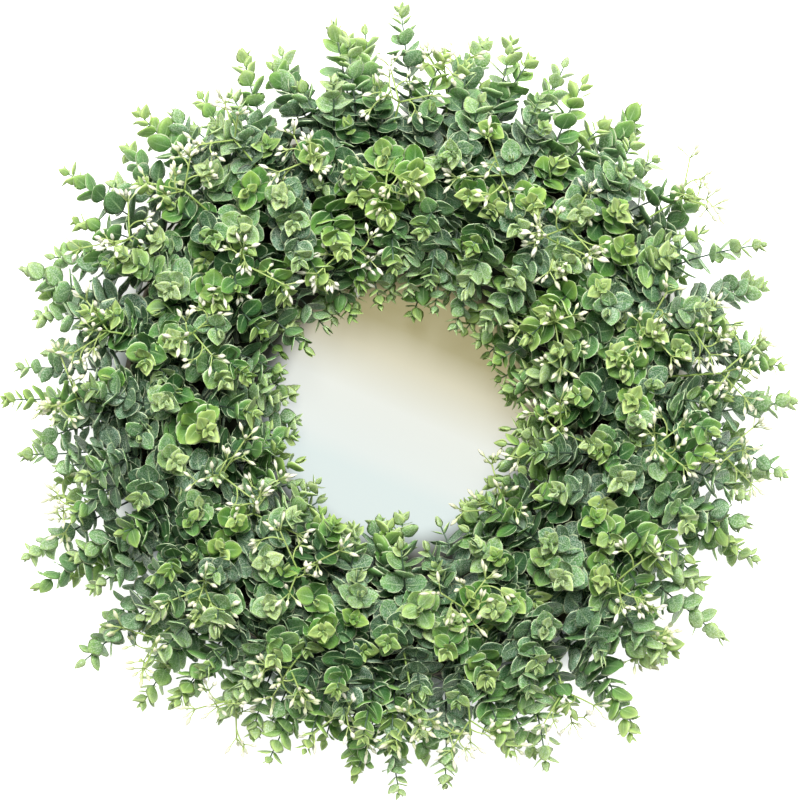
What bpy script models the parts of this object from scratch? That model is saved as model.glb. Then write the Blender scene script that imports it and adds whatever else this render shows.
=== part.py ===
# Faux eucalyptus wreath: a ring of wound grapevine canes, bunches of leafy sprigs and seed sprays.
# Metres, +Z up. The wreath lies on its back at z = 0, with its front facing up and the middle of
# its hole on the Z axis.
import math

import bmesh
import bpy
import numpy as np
from mathutils import Vector
from mathutils.bvhtree import BVHTree

# Driving sizes of the whole wreath
OVERALL = 0.554  # tip to tip across the four longest sprigs
COMPASS_MORE = 0.0010  # how much further than their leaves those four sprigs' paths run
INSET = 0.005  # how far all the others stay inside that square
RING_RADIUS = 0.165  # to the middle of the ring of canes
HOLE_RADIUS = 0.075  # no leaf reaches nearer to the axis
CLEARANCE = 0.0004  # between pieces that are not joined
SEED = 41

# The canes: wound strands on an oval section, and straight ones in its middle
STRANDS = 6
STRAND_TURNS = 2
STRAND_STEPS = 24
CORE_STEPS = 12
STRAND_RADIUS = 0.0058
OVAL_WIDE = 0.030
OVAL_HIGH = 0.011
FLAT_CUT = 0.0004  # how deep the resting surface cuts the lowest canes
CORE_OFFSETS = (-0.0095, 0.0095)
CORE_RADIUS = 0.0046
HEX_FLAT = math.cos(math.radians(30))
RING_MIDDLE = OVAL_HIGH + STRAND_RADIUS * HEX_FLAT - FLAT_CUT

# The bunches
PICKS = 24
STALK_RADIUS = 0.0014
STALK_HALF = 0.0185
STALK_SHIFT = 0.007
STEM_RADIUS = 0.0009
STEM_TIP_RADIUS = 0.00055
STEM_END = 0.0020  # how far a stem runs past its last pair
BELOW_PAIR = 0.0030  # how far below a pair its stem bends
BARE_SHARE = 0.26  # how much of a sprig's length, from its root, has no leaves
LOW_SPACE = 0.0098  # between pairs low down
TIP_SPACE = 0.0068  # between pairs near the tip
TURNS = [math.radians(turn) for turn in (0, 14, -14, 28, -28, 42, -42)]  # tried for a pair of leaves
TIP_REACH = 0.0105  # from the last pair's root to the tips of its leaves
# Each sprig of a bunch: radius and height of its tip, radius and height of its bend, how far its
# tip may lean to a side, and where along it a pair of leaves is built below the pair at its tip
SPRIGS = {
    "inner": ((0.084, 0.094), (0.026, 0.058), (0.122, 0.066), 0.013, (0.62,)),
    "low_outer": ((0.254, 0.272), (0.016, 0.034), (0.214, 0.052), 0.020, (0.64,)),
    "high_outer": ((0.244, 0.266), (0.050, 0.072), (0.202, 0.080), 0.024, (0.62,)),
    "outer_crown": ((0.208, 0.232), (0.086, 0.104), (0.184, 0.074), 0.018, (0.62,)),
    "inner_crown": ((0.132, 0.160), (0.092, 0.109), (0.160, 0.074), 0.014, (0.62,)),
}
SPRIG_ROOTS = {"inner": 0.0, "low_outer": 0.8, "high_outer": -0.8, "outer_crown": 0.4, "inner_crown": -0.4}

# A leaf's rim as shares of its length and width, from its root round to its root
ROUND_RIM = ((0.0, 0.0), (0.36, 0.48), (0.75, 0.43), (1.0, 0.0), (0.75, -0.43), (0.36, -0.48))
POINTED_RIM = ((0.0, 0.0), (0.46, 0.48), (1.0, 0.0), (0.46, -0.48))
LEAF_KEEL = 0.0009  # how deep the middle of the lower face lies below the midrib
LEAF_CUP = 0.05  # how far the sides are raised, as a share of the width
LOW_LEAF = 0.0205
TIP_LEAF = 0.0090

# The seed sprays
SPRAYS = 12
SPRAY_SWAY = 0.09  # how far in angle a spray may stand from its even place
SPRAY_RADIUS = 0.0009
BRANCH_RADIUS = 0.0006
FOOT_LENGTH = 0.014
SPRAY_TOP = 0.089  # of a stem's head, below its branches and seeds
SPRAY_FALL = 1.0  # how much lower the head is, for its distance past the crown of the ring
KNEE_SPACE = 0.0022  # how far above its foot a spray's stem has to be clear
KNOT_RADIUS = 0.0013  # where branches or seeds part
SINK = 0.0006  # how deep a seed's stalk starts in its knot
PEDICEL_RADIUS = 0.00032
SEED_REACH = 0.0125
SEED_BELLY = 0.62
SEED_RADIUS = 0.0015
BRANCHES = 3
SEEDS = 3
SPRAY_REACHES = (0.205, 0.150, 0.232, 0.178)

UP = np.array([0.0, 0.0, 1.0])
TRIES = 40


# Points and frames


def ring_point(angle, radius, height, along=0.0):
    """The point at this radius and height in the half-plane at this angle, moved along the tangent."""
    outward = np.array([math.cos(angle), math.sin(angle), 0.0])
    tangent = np.array([-math.sin(angle), math.cos(angle), 0.0])
    return outward * radius + tangent * along + UP * height


def unit(vectors):
    return vectors / np.linalg.norm(vectors, axis=-1, keepdims=True)


def bent_path(start, middle, end, count=9):
    """A quadratic curve from start to end, pulled towards middle."""
    t = np.linspace(0.0, 1.0, count)[:, None]
    return (1 - t) ** 2 * start + 2 * t * (1 - t) * middle + t**2 * end


def path_length(path):
    return float(np.linalg.norm(np.diff(path, axis=0), axis=1).sum())


def along_path(path, share):
    """The point and the direction at this share of the path's length."""
    steps = np.diff(path, axis=0)
    lengths = np.linalg.norm(steps, axis=1)
    reached = np.concatenate([[0.0], np.cumsum(lengths)])
    place = share * reached[-1]
    k = int(np.clip(np.searchsorted(reached, place) - 1, 0, len(steps) - 1))
    return path[k] + steps[k] * (place - reached[k]) / lengths[k], steps[k] / lengths[k]


def tube_surface(points, radii, sides, reference, cyclic=False, first=90.0):
    """Vertices and faces of a tube, its section upright against the reference direction."""
    points = np.asarray(points, float)
    if cyclic:
        steps = unit(np.roll(points, -1, axis=0) - points)
        tangents = unit(steps + np.roll(steps, 1, axis=0))
    else:
        steps = unit(np.diff(points, axis=0))
        tangents = unit(np.vstack([steps[:1], steps[1:] + steps[:-1], steps[-1:]]))
    side = unit(np.cross(tangents, reference))
    up = np.cross(side, tangents)
    turn = np.radians(first) + np.arange(sides) * 2 * math.pi / sides
    section = np.cos(turn)[None, :, None] * side[:, None] + np.sin(turn)[None, :, None] * up[:, None]
    verts = points[:, None] + section * np.broadcast_to(radii, len(points))[:, None, None]
    faces = []
    last = len(points) if cyclic else len(points) - 1
    for k in range(last):
        a, b = k * sides, (k + 1) % len(points) * sides
        for i in range(sides):
            j = (i + 1) % sides
            faces += [(a + i, a + j, b + j), (a + i, b + j, b + i)]
    return verts.reshape(-1, 3), faces


# Room: what is placed already, tested against what is to be placed


class Room:
    """The pieces placed so far, each with its owner, and a test whether a new piece is clear of them."""

    def __init__(self):
        self.pieces = []
        self.trees = {}

    def add(self, points, faces, owner=None):
        self.pieces.append((points, faces, owner))
        self.trees = {}

    def tree(self, skipped):
        """All the pieces but those of the skipped owner, as one search tree."""
        if skipped not in self.trees:
            corners, rows = [], []
            for points, faces, owner in self.pieces:
                if owner is None or owner != skipped:
                    start = len(corners)
                    corners += [tuple(point) for point in points]
                    rows += [tuple(start + i for i in face) for face in faces]
            self.trees[skipped] = BVHTree.FromPolygons(corners, rows)
        return self.trees[skipped]

    def clear(self, points, faces, skipped=None):
        shape = BVHTree.FromPolygons([tuple(point) for point in points], faces)
        return not self.tree(skipped).overlap(shape)


def settled(room, shape, high=0.045, low=0.004):
    """The lowest height at which shape(height) is clear of the room, coming down from above."""
    height = high
    while height > low and room.clear(*shape(height)):
        height -= 0.0005
    clear_at, blocked_at = height + 0.0005, height
    for _ in range(8):
        middle = (clear_at + blocked_at) / 2
        if room.clear(*shape(middle)):
            clear_at = middle
        else:
            blocked_at = middle
    return clear_at


# Layout: where every cane, stalk, sprig, leaf, branch and seed goes


def strand_points(number):
    """Strand: round the oval section STRAND_TURNS times while it goes once round the ring."""
    angle = np.arange(STRAND_STEPS) * 2 * math.pi / STRAND_STEPS
    wind = 2 * math.pi * number / STRANDS + STRAND_TURNS * angle
    radius = RING_RADIUS + OVAL_WIDE * np.cos(wind)
    height = RING_MIDDLE + OVAL_HIGH * np.sin(wind)
    return np.stack([radius * np.cos(angle), radius * np.sin(angle), height], axis=1)


def core_points(offset):
    """Core cane: a plain circle inside the wound strands."""
    angle = np.arange(CORE_STEPS) * 2 * math.pi / CORE_STEPS
    radius = RING_RADIUS + offset
    height = np.full(CORE_STEPS, RING_MIDDLE)
    return np.stack([radius * np.cos(angle), radius * np.sin(angle), height], axis=1)


def cane_layout():
    canes = [(strand_points(i), STRAND_RADIUS) for i in range(STRANDS)]
    return canes + [(core_points(offset), CORE_RADIUS) for offset in CORE_OFFSETS]


def stalk_path(angle, shift, height):
    """Stalk: laid along the ring on top of the canes, in three points of one arc."""
    radius = RING_RADIUS + shift
    turns = angle + np.array([-1.0, 0.0, 1.0]) * STALK_HALF / radius
    return np.array([ring_point(a, radius, height) for a in turns])


def place_stalk(room, number):
    angle = 2 * math.pi * number / PICKS
    shift = STALK_SHIFT if number % 2 else -STALK_SHIFT

    def shape(height):
        return tube_surface(stalk_path(angle, shift, height), STALK_RADIUS + CLEARANCE, 4, UP)

    path = stalk_path(angle, shift, settled(room, shape))
    return {"angle": angle, "path": path, "sprigs": []}


def leaf_size(share, scale):
    """Length and width of a leaf at this share of its sprig: large and round low, small and slim high."""
    length = (LOW_LEAF - (LOW_LEAF - TIP_LEAF) * share**2.2) * scale
    return length, length * (1.08 - 0.45 * share**2)


def leaf_points(root, axis, side, length, width, rise, rim, grow=0.0):
    """Leaf: its rim, a little cupped, then the keel under its middle."""
    out = math.cos(rise) * side + math.sin(rise) * axis
    across = np.cross(axis, side)
    normal = np.cross(out, across)
    rim = np.array(rim)
    lift = LEAF_CUP * width * (2 * np.abs(rim[:, 1:])) ** 2 + grow / 2
    points = root + rim[:, :1] * (length + grow) * out + rim[:, 1:] * (width + grow) * across + lift * normal
    return np.vstack([points, root + 0.52 * length * out - (LEAF_KEEL + grow / 2) * normal])


def leaf_faces(rim):
    """The upper face as strips across the leaf, the lower one as a fan from the keel."""
    count = len(rim)
    half = count // 2
    faces = [((i + 1) % count, i, count) for i in range(count)]
    for k in range(half):
        left, left_next, right, right_next = k, k + 1, (count - k) % count, count - k - 1
        if left != right:
            faces.append((left, left_next, right))
        if left_next != right_next:
            faces.append((left_next, right_next, right))
    return faces


def side_of(axis, tangent, twist):
    """The direction square to the axis, turned by the twist from the ring's tangent."""
    first = unit(tangent - axis * (tangent @ axis))
    return math.cos(twist) * first + math.sin(twist) * np.cross(axis, first)


def pair_leaves(path, run, pair, tangent, turn=0.0, grow=0.0):
    """The points of the two leaves of a pair, rooted on the stem's own run."""
    place, axis = along_path(path, pair["share"])
    root = nearest_on(run, place)
    side = side_of(axis, tangent, pair["twist"] + turn)
    for sign in (1, -1):
        yield leaf_points(root, axis, sign * side, *pair["size"], pair["rise"], pair["rim"], grow)


def nearest_on(run, place):
    """The point of a run of straight stretches that is nearest to the place."""
    starts, steps = run[:-1], np.diff(run, axis=0)
    share = np.clip(((place - starts) * steps).sum(axis=1) / (steps**2).sum(axis=1), 0.0, 1.0)
    points = starts + share[:, None] * steps
    return points[np.linalg.norm(points - place, axis=1).argmin()]


def leaf_clear(room, points, rim):
    """Whether a leaf is above the resting surface, outside the hole and clear of what is placed."""
    low = points[:, 2].min() < 0.001
    inside = np.hypot(points[:, 0], points[:, 1]).min() < HOLE_RADIUS
    return not low and not inside and room.clear(points, leaf_faces(rim))


def sprig_candidate(rng, kind, pick, compass):
    """A path for one sprig: from its stalk, over the bend, to a tip inside the overall square."""
    tip_radius, tip_height, bend, lean, _ = SPRIGS[kind]
    angle = pick["angle"]
    root_along = SPRIG_ROOTS[kind] * STALK_HALF
    root = along_path(pick["path"], 0.5 + root_along / (2 * STALK_HALF))[0]
    lateral = root_along * 0.6 + rng.uniform(-lean, lean)
    radius = rng.uniform(*tip_radius)
    height = rng.uniform(*tip_height)
    bend_jitter = rng.uniform(-0.008, 0.008, 3)
    if compass:
        lateral, radius = 0.0, OVERALL / 2 + COMPASS_MORE
    tip = ring_point(angle, radius, height, lateral)
    if not compass:
        tip[:2] *= min(1.0, (OVERALL / 2 - INSET) / np.abs(tip[:2]).max())
    middle = ring_point(angle, bend[0], bend[1], (root_along + lateral) / 2) + bend_jitter
    return bent_path(root, middle, tip)


def pair_shares(length):
    """Where along a sprig its pairs of leaves stand, closer together towards its tip."""
    shares = []
    place = BARE_SHARE * length
    while place < length - TIP_REACH - 0.006:
        shares.append(place / length)
        place += LOW_SPACE + (TIP_SPACE - LOW_SPACE) * place / length
    return shares + [1.0 - TIP_REACH / length]


def stem_run(path, carried):
    """The stem's points: its root, just below each pair that it carries, and just past the last."""
    length = path_length(path)
    shares = [0.0] + [share - BELOW_PAIR / length for share in carried]
    shares.append(1.0 - (TIP_REACH - STEM_END) / length)
    return np.array([along_path(path, share)[0] for share in shares])


def stem_clear(room, run, tangent, number):
    """Whether a stem is clear of everything but its own bunch's stalk."""
    return room.clear(*tube_surface(run, STEM_RADIUS + CLEARANCE, 4, tangent), skipped=number)


def sprig_pairs(room, rng, kind, path, tangent):
    """Every pair of leaves along a path, those to be built turned until they are clear."""
    shares = pair_shares(path_length(path))
    wanted = {int(np.argmin(np.abs(np.array(shares) - share))) for share in SPRIGS[kind][4]}
    run = stem_run(path, [shares[k] for k in sorted(wanted)])
    wanted.add(len(shares) - 1)
    start_twist = rng.uniform(0, math.pi)
    scale = rng.uniform(0.92, 1.06)
    pairs = []
    for k, share in enumerate(shares):
        last = k == len(shares) - 1
        pair = {
            "share": share,
            "twist": start_twist + k * math.pi / 2,
            "size": leaf_size(share, scale),
            "rise": math.radians(18 + 38 * share**1.5 + rng.uniform(-6, 6)),
            "rim": POINTED_RIM if last else ROUND_RIM,
            "kept": False,
        }
        for turn in TURNS if k in wanted else ():
            leaves = pair_leaves(path, run, pair, tangent, turn, 2 * CLEARANCE)
            if all(leaf_clear(room, points, pair["rim"]) for points in leaves):
                pair["twist"] += turn
                pair["kept"] = True
                break
        pairs.append(pair)
    return pairs, run, len(wanted)


def place_sprig(room, rng, kind, pick, number, compass):
    """The first path that is clear of what is placed, or the one that carries the most leaves."""
    tangent = ring_point(pick["angle"], 0.0, 0.0, 1.0)
    best, most = None, 0
    for attempt in range(TRIES):
        path = sprig_candidate(rng, kind, pick, compass)
        pairs, run, wanted = sprig_pairs(room, rng, kind, path, tangent)
        fitted = sum(pair["kept"] for pair in pairs)
        if pairs[-1]["kept"] and fitted > most and stem_clear(room, run, tangent, number):
            best, most = {"kind": kind, "path": path, "run": run, "pairs": pairs}, fitted
        if most == wanted or (best and attempt > TRIES // 2):
            break
    if best:
        room.add(*tube_surface(best["run"], STEM_RADIUS, 4, tangent))
        for points, rim in sprig_leaves(best, tangent):
            room.add(points, leaf_faces(rim))
    return best


def sprig_leaves(sprig, tangent):
    """The points and the rim of each leaf that the sprig carries."""
    for pair in sprig["pairs"]:
        if pair["kept"]:
            for points in pair_leaves(sprig["path"], sprig["run"], pair, tangent):
                yield points, pair["rim"]


def top_strand_radius(angle):
    """How far from the axis the highest strand lies at this angle."""
    winds = 2 * math.pi * np.arange(STRANDS) / STRANDS + STRAND_TURNS * angle
    return RING_RADIUS + OVAL_WIDE * float(np.cos(winds[np.argmax(np.sin(winds))]))


def foot_ends(angle, height, past=0.0):
    """Foot of a seed spray: two points along the ring, on the highest strand."""
    radius = top_strand_radius(angle)
    return [ring_point(angle, radius, height, along) for along in (-FOOT_LENGTH, past)]


def spray_candidate(rng, number, angle, height):
    """Seed spray: a foot along the canes, a stem up through the leaves, branches and their seeds."""
    reach = SPRAY_REACHES[number % 4] + rng.uniform(-0.010, 0.010)
    top = SPRAY_TOP - SPRAY_FALL * max(0.0, reach - 0.20) + rng.uniform(-0.006, 0.004)
    foot, knee = foot_ends(angle, height)
    head = ring_point(angle, reach, top, rng.uniform(-0.012, 0.012))
    bend = ring_point(angle, 0.7 * top_strand_radius(angle) + 0.3 * reach, 0.8 * top)
    branches = []
    heading = unit(head - bend)
    tangent = ring_point(angle, 0.0, 0.0, 1.0)
    turn = rng.uniform(0, 2 * math.pi)
    for k in range(BRANCHES):
        aside = side_of(heading, tangent, turn + 2 * math.pi * k / BRANCHES + rng.uniform(-0.3, 0.3))
        size = rng.uniform(0.017, 0.027)
        end = head + size * unit(heading * 0.75 + aside * rng.uniform(0.85, 1.15))
        middle = head + size * (0.30 * heading + 0.42 * aside)
        branch = bent_path(head + 0.7 * SPRAY_RADIUS * aside, middle, end, 3)
        way = unit(branch[-1] - branch[-2])
        whirl = rng.uniform(0, 2 * math.pi)
        seeds = []
        for i in range(SEEDS):
            out = side_of(way, tangent, whirl + 2 * math.pi * i / SEEDS)
            root = end + 0.6 * BRANCH_RADIUS * out
            seeds.append((root, root + SEED_REACH * unit(way + rng.uniform(0.55, 0.85) * out)))
        branches.append({"path": branch, "seeds": seeds})
    return {"angle": angle, "stem": np.vstack([foot, bent_path(knee, bend, head, 3)]), "branches": branches}


def spray_shapes(spray, gap, skipped):
    """The spray's surfaces above its foot, each grown by the gap, its stem without its skipped start."""
    tangent = ring_point(spray["angle"], 0.0, 0.0, 1.0)
    stem = spray["stem"]
    first = stem[1] + skipped * unit(stem[2] - stem[1])
    radii = np.array([SPRAY_RADIUS] * (len(stem) - 2) + [KNOT_RADIUS]) + gap
    yield tube_surface(np.vstack([first, stem[2:]]), radii, 4, tangent)
    for branch in spray["branches"]:
        radii = np.array([BRANCH_RADIUS, BRANCH_RADIUS, KNOT_RADIUS]) + gap
        yield tube_surface(branch["path"], radii, 4, tangent)
        for root, seed in branch["seeds"]:
            belly = root + SEED_BELLY * (seed - root)
            radii = np.array([PEDICEL_RADIUS, SEED_RADIUS, 0.0002]) + gap
            across = np.cross(seed - root, tangent)
            yield tube_surface([root, belly, seed], radii, 4, across)


def place_spray(room, rng, number):
    for _ in range(TRIES):
        angle = 2 * math.pi * (number + 0.5) / SPRAYS + rng.uniform(-SPRAY_SWAY, SPRAY_SWAY)

        def foot(height, angle=angle):
            ends = foot_ends(angle, height, SPRAY_RADIUS + CLEARANCE)
            return tube_surface(ends, SPRAY_RADIUS + CLEARANCE, 4, UP)

        spray = spray_candidate(rng, number, angle, settled(room, foot))
        if all(room.clear(*shape) for shape in spray_shapes(spray, CLEARANCE, KNEE_SPACE)):
            room.add(*tube_surface(spray["stem"][:2], SPRAY_RADIUS + CLEARANCE, 4, UP))
            for shape in spray_shapes(spray, CLEARANCE, 0.0):
                room.add(*shape)
            return spray
    return None


def whole_layout():
    """Canes, then stalks, then seed sprays, then each bunch's sprigs, each clear of those before."""
    canes = cane_layout()
    room = Room()
    for points, radius in canes:
        room.add(*tube_surface(points, radius, 6, UP, cyclic=True, first=120.0))
    picks = [place_stalk(room, number) for number in range(PICKS)]
    for number, pick in enumerate(picks):
        room.add(*tube_surface(pick["path"], STALK_RADIUS, 4, UP), owner=number)
    sprays = []
    for number in range(SPRAYS):
        spray = place_spray(room, np.random.default_rng([SEED, 1, number]), number)
        if spray:
            sprays.append(spray)
    for number, pick in enumerate(picks):
        for order, kind in enumerate(SPRIGS):
            rng = np.random.default_rng([SEED, 2, number, order])
            compass = kind == "high_outer" and number % (PICKS // 4) == 0
            sprig = place_sprig(room, rng, kind, pick, number, compass)
            if sprig:
                pick["sprigs"].append(sprig)
    return canes, picks, sprays


# Making: Blender objects from the layout


def new_collection(name):
    made = bpy.data.collections.new(name)
    bpy.context.scene.collection.children.link(made)
    return made


def finish(name, colour, roughness):
    material = bpy.data.materials.new(name)
    material.use_nodes = True
    shader = material.node_tree.nodes["Principled BSDF"]
    shader.inputs["Base Color"].default_value = (*colour, 1.0)
    shader.inputs["Roughness"].default_value = roughness
    shader.inputs["Metallic"].default_value = 0.0
    return material


def rod(collection, points, radii, section=None, cyclic=False, resolution=0, twist="MINIMUM"):
    """A tube along the points as a closed mesh: a curve with a bevel, its caps welded."""
    curve = bpy.data.curves.new("rod", "CURVE")
    curve.dimensions = "3D"
    curve.use_fill_caps = True
    curve.twist_mode = twist
    if section:
        curve.bevel_mode = "OBJECT"
        curve.bevel_object = section
    else:
        curve.bevel_depth = 1.0
        curve.bevel_resolution = resolution
    spline = curve.splines.new("POLY")
    spline.points.add(len(points) - 1)
    for point, place, radius in zip(spline.points, points, np.broadcast_to(radii, len(points))):
        point.co = (*place, 1.0)
        point.radius = radius
    spline.use_cyclic_u = cyclic
    guide = bpy.data.objects.new("rod", curve)
    collection.objects.link(guide)
    graph = bpy.context.evaluated_depsgraph_get()
    mesh = bpy.data.meshes.new_from_object(guide.evaluated_get(graph))
    bpy.data.objects.remove(guide)
    bpy.data.curves.remove(curve)
    return mesh_object(collection, mesh)


def mesh_object(collection, mesh):
    """The mesh welded, its faces turned outwards, as an object in the collection."""
    cage = bmesh.new()
    cage.from_mesh(mesh)
    bmesh.ops.remove_doubles(cage, verts=cage.verts, dist=0.00001)
    bmesh.ops.recalc_face_normals(cage, faces=cage.faces)
    cage.to_mesh(mesh)
    cage.free()
    made = bpy.data.objects.new(mesh.name, mesh)
    collection.objects.link(made)
    return made


def leaf(collection, points, rim):
    """A leaf: a cone stood on its point, its base drawn out into the rim and its apex into the keel."""
    count = len(rim)
    cage = bmesh.new()
    bmesh.ops.create_cone(
        cage, cap_ends=True, cap_tris=False, segments=count, radius1=0.0, radius2=1.0, depth=2.0
    )
    for vert in cage.verts:
        turn = math.atan2(vert.co.y, vert.co.x) - math.pi / 2
        is_rim = math.hypot(vert.co.x, vert.co.y) > 0.5
        vert.co = points[round(turn * count / (2 * math.pi)) % count if is_rim else count]
    flat = max(cage.faces, key=lambda face: len(face.verts))
    ring = sorted(flat.verts, key=lambda vert: min(range(count), key=lambda k: (vert.co - Vector(points[k])).length))
    for k in range(1, count // 2):
        bmesh.ops.connect_verts(cage, verts=[ring[k], ring[count - k]])
    bmesh.ops.triangulate(cage, faces=cage.faces, quad_method="FIXED")
    mesh = bpy.data.meshes.new("leaf")
    cage.to_mesh(mesh)
    cage.free()
    return mesh_object(collection, mesh)


def fuse(target, pieces):
    """One Boolean union of the target with the collection of pieces, applied."""
    union = target.modifiers.new("fuse", "BOOLEAN")
    union.operation = "UNION"
    union.operand_type = "COLLECTION"
    union.collection = pieces
    union.solver = "EXACT"
    apply_modifiers(target)
    for piece in list(pieces.objects):
        mesh = piece.data
        bpy.data.objects.remove(piece)
        bpy.data.meshes.remove(mesh)


def apply_modifiers(target):
    graph = bpy.context.evaluated_depsgraph_get()
    mesh = bpy.data.meshes.new_from_object(target.evaluated_get(graph))
    target.modifiers.clear()
    old = target.data
    target.data = mesh
    bpy.data.meshes.remove(old)


def named(made, name, material):
    made.name = name
    made.data.name = name
    made.data.materials.clear()
    made.data.materials.append(material)
    return made


def make_canes(parts, cutters, canes, material):
    """The canes, cut flat where they lie on the surface."""
    cage = bmesh.new()
    bmesh.ops.create_cube(cage, size=1.0)
    bmesh.ops.scale(cage, vec=(2 * OVERALL, 2 * OVERALL, 0.02), verts=cage.verts)
    mesh = bpy.data.meshes.new("resting_surface")
    cage.to_mesh(mesh)
    cage.free()
    floor = bpy.data.objects.new("resting_surface", mesh)
    floor.location.z = -0.01
    floor.hide_render = True
    floor.display_type = "WIRE"
    cutters.objects.link(floor)
    for number, (points, radius) in enumerate(canes, 1):
        cane = rod(parts, points, radius, cyclic=True, resolution=1, twist="Z_UP")
        named(cane, f"vine_{number}", material)
        cut = cane.modifiers.new("flat", "BOOLEAN")
        cut.operation = "DIFFERENCE"
        cut.object = floor


def make_sprig(pieces, section, pick, sprig):
    """One sprig: a tapering stem with its pairs of leaves, the last one at its end."""
    run = sprig["run"]
    radii = [STEM_RADIUS] * (len(run) - 1) + [STEM_TIP_RADIUS]
    rod(pieces, run, radii, section)
    for points, rim in sprig_leaves(sprig, ring_point(pick["angle"], 0.0, 0.0, 1.0)):
        leaf(pieces, points, rim)


def make_pick(parts, pieces, section, number, pick, material):
    stalk = rod(parts, pick["path"], STALK_RADIUS, twist="Z_UP")
    for sprig in pick["sprigs"]:
        make_sprig(pieces, section, pick, sprig)
    fuse(stalk, pieces)
    return named(stalk, f"eucalyptus_pick_{number:02d}", material)


def make_spray(parts, pieces, section, number, spray, material):
    stem = rod(parts, spray["stem"], (SPRAY_RADIUS, SPRAY_RADIUS, SPRAY_RADIUS, KNOT_RADIUS))
    for branch in spray["branches"]:
        path = branch["path"]
        rod(pieces, path, (BRANCH_RADIUS, BRANCH_RADIUS, KNOT_RADIUS), section)
        back = SINK * unit(path[-1] - path[-2])
        for root, seed in branch["seeds"]:
            belly = root + SEED_BELLY * (seed - root)
            rod(pieces, [root - back, belly, seed], (PEDICEL_RADIUS, SEED_RADIUS, 0.0), section)
    fuse(stem, pieces)
    return named(stem, f"seed_spray_{number:02d}", material)


def triangle_section(cutters):
    """The section of the thin stems: a triangle of radius one."""
    curve = bpy.data.curves.new("stem_section", "CURVE")
    spline = curve.splines.new("POLY")
    spline.points.add(2)
    for point, angle in zip(spline.points, (90, 330, 210)):
        point.co = (math.cos(math.radians(angle)), math.sin(math.radians(angle)), 0.0, 1.0)
    spline.use_cyclic_u = True
    section = bpy.data.objects.new("stem_section", curve)
    section.hide_render = True
    section.display_type = "WIRE"
    cutters.objects.link(section)
    return section


def main():
    for old in list(bpy.data.objects):
        bpy.data.objects.remove(old)
    parts = new_collection("eucalyptus_wreath")
    cutters = new_collection("cutters")
    pieces = new_collection("pieces")
    cane = finish("grapevine cane", (0.16, 0.11, 0.07), 0.85)
    foliage = finish("moulded eucalyptus", (0.13, 0.27, 0.09), 0.6)
    seed = finish("moulded seed spray", (0.72, 0.70, 0.50), 0.55)
    section = triangle_section(cutters)
    canes, picks, sprays = whole_layout()
    make_canes(parts, cutters, canes, cane)
    for number, pick in enumerate(picks, 1):
        make_pick(parts, pieces, section, number, pick, foliage)
    for number, spray in enumerate(sprays, 1):
        make_spray(parts, pieces, section, number, spray, seed)
    bpy.data.collections.remove(pieces)


main()
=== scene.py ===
import math

import bpy
import numpy as np
from mathutils.bvhtree import BVHTree
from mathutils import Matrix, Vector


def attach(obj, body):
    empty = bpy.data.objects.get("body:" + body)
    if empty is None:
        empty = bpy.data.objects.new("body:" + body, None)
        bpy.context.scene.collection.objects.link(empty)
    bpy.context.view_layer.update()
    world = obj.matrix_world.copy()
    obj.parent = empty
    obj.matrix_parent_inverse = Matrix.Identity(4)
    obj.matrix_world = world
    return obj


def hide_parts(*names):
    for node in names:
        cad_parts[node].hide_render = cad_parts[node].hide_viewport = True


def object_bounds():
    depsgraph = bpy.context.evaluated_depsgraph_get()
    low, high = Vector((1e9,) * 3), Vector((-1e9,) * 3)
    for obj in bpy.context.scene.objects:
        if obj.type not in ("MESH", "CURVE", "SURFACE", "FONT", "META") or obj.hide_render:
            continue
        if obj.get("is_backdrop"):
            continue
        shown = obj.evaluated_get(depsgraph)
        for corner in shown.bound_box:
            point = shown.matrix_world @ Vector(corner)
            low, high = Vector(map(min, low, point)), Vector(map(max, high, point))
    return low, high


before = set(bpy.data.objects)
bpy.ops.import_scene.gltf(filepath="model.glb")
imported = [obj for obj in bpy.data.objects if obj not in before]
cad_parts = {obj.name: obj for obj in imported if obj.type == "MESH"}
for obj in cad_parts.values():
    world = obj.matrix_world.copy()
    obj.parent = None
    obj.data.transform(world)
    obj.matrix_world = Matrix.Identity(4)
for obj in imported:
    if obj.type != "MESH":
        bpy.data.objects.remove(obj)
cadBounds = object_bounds()
print("frame loaded,", len(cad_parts), "nodes")

wreath = {
    "overall": 0.554,  # tip to tip across the four longest sprigs
    "compassMore": 0.0010,  # how far past half of that their paths end
    "inset": 0.005,  # how far inside it the other paths end
    "holeRadius": 0.075,
    "floorGap": 0.001,  # the lowest that a coarse leaf may come
    "clearance": 0.0004,
    "tries": 40,
    "seed": 41,
    "streams": {"sprays": 1, "sprigs": 2, "bunches": 3, "seeds": 4, "more": 5, "canes": 6},
}

up = np.array([0.0, 0.0, 1.0])


# Points and paths.


def unit(vectors):
    # each vector divided by its own length
    return vectors / np.linalg.norm(vectors, axis=-1, keepdims=True)


def held(value):
    # the value, but no less than 0 and no more than 1
    return min(1.0, max(0.0, value))


def drawsFor(stream, *numbers):
    # the random draws of one piece, the same on every run
    return np.random.default_rng([wreath["seed"], wreath["streams"][stream], *numbers])


def eitherWay(rng, most, count=None):
    # drawn evenly from -most to most
    return rng.uniform(-most, most, count)


def ringPoint(angle, radius, height, along=0.0):
    # the point at this radius and height in the half-plane at this angle, moved along the tangent
    outward = np.array([math.cos(angle), math.sin(angle), 0.0])
    tangent = np.array([-math.sin(angle), math.cos(angle), 0.0])
    return outward * radius + tangent * along + up * height


def bentPath(start, middle, end, count=9):
    # quadratic curve: (1-t)^2 start + 2t(1-t) middle + t^2 end
    t = np.linspace(0.0, 1.0, count)[:, None]
    return (1 - t) ** 2 * start + 2 * t * (1 - t) * middle + t**2 * end


def bentThrough(start, middle, end, count=9):
    # quadratic curve that passes through the middle: its control is 2 middle - (start + end) / 2
    return bentPath(start, 2 * middle - (start + end) / 2, end, count)


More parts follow.
